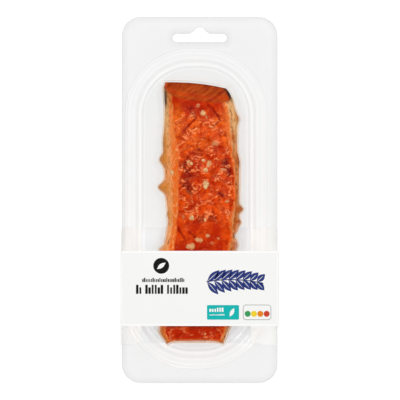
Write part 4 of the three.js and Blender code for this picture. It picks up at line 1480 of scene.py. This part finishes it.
class FILLETPACK_OT_fillet(bpy.types.Operator):
    """Make the smoked fillet and the pale bits on it"""

    bl_idname = "fillet_pack.fillet"
    bl_label = "Smoked Fillet"
    bl_options = {"REGISTER", "UNDO"}

    def execute(self, context):
        look = context.scene.fillet_pack_fillet
        surface, normals = build_fillet(look)
        build_bits(look, surface, normals)
        return {"FINISHED"}


class FILLETPACK_OT_skin(bpy.types.Operator):
    """Make the fish's skin under the flesh"""

    bl_idname = "fillet_pack.skin"
    bl_label = "Fish Skin"
    bl_options = {"REGISTER", "UNDO"}

    def execute(self, context):
        build_skin(context.scene.fillet_pack_fillet)
        return {"FINISHED"}


class FILLETPACK_OT_film(bpy.types.Operator):
    """Make the film that clings to the fillet"""

    bl_idname = "fillet_pack.film"
    bl_label = "Clear Film"
    bl_options = {"REGISTER", "UNDO"}

    def execute(self, context):
        build_film(context.scene.fillet_pack_tray, context.scene.fillet_pack_fillet.thickness / MM)
        return {"FINISHED"}


class FILLETPACK_OT_sleeve(bpy.types.Operator):
    """Make the paper sleeve"""

    bl_idname = "fillet_pack.sleeve"
    bl_label = "Paper Sleeve"
    bl_options = {"REGISTER", "UNDO"}

    def execute(self, context):
        build_sleeve(context.scene.fillet_pack_sleeve)
        return {"FINISHED"}


class FILLETPACK_OT_print(bpy.types.Operator):
    """Print the sleeve's front with plain shapes"""

    bl_idname = "fillet_pack.print"
    bl_label = "Sleeve Print"
    bl_options = {"REGISTER", "UNDO"}

    def execute(self, context):
        build_print(context.scene.fillet_pack_sleeve)
        return {"FINISHED"}


class FILLETPACK_OT_stage(bpy.types.Operator):
    """Make the floor, the lights and the camera"""

    bl_idname = "fillet_pack.stage"
    bl_label = "Stage"
    bl_options = {"REGISTER", "UNDO"}

    def execute(self, context):
        build_stage(context.scene.fillet_pack_stage)
        return {"FINISHED"}


OPERATORS = (
    FILLETPACK_OT_tray,
    FILLETPACK_OT_fillet,
    FILLETPACK_OT_skin,
    FILLETPACK_OT_film,
    FILLETPACK_OT_sleeve,
    FILLETPACK_OT_print,
    FILLETPACK_OT_stage,
)
LOOKS = {
    "fillet_pack_tray": TrayLook,
    "fillet_pack_fillet": FilletLook,
    "fillet_pack_sleeve": SleeveLook,
    "fillet_pack_stage": StageLook,
}


class FILLETPACK_PT_sidebar(bpy.types.Panel):
    """Buttons and values for the pack"""

    bl_label = "Fillet Pack"
    bl_space_type = "VIEW_3D"
    bl_region_type = "UI"
    bl_category = "Fillet Pack"

    def draw(self, context):
        for operator in OPERATORS:
            self.layout.operator(operator.bl_idname)
        for label, group in LOOKS.items():
            box = self.layout.box()
            box.label(text=group.__doc__)
            for field in group.__annotations__:
                box.prop(getattr(context.scene, label), field)


CLASSES = (*LOOKS.values(), *OPERATORS, FILLETPACK_PT_sidebar)


def register():
    for made in CLASSES:
        bpy.utils.register_class(made)
    for label, group in LOOKS.items():
        setattr(bpy.types.Scene, label, bpy.props.PointerProperty(type=group))


def unregister():
    for label in LOOKS:
        delattr(bpy.types.Scene, label)
    for made in reversed(CLASSES):
        bpy.utils.unregister_class(made)


def main():
    register()
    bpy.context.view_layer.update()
    for operator in OPERATORS:
        group, name = operator.bl_idname.split(".")
        getattr(getattr(bpy.ops, group), name)()


if __name__ == "__main__":
    main()
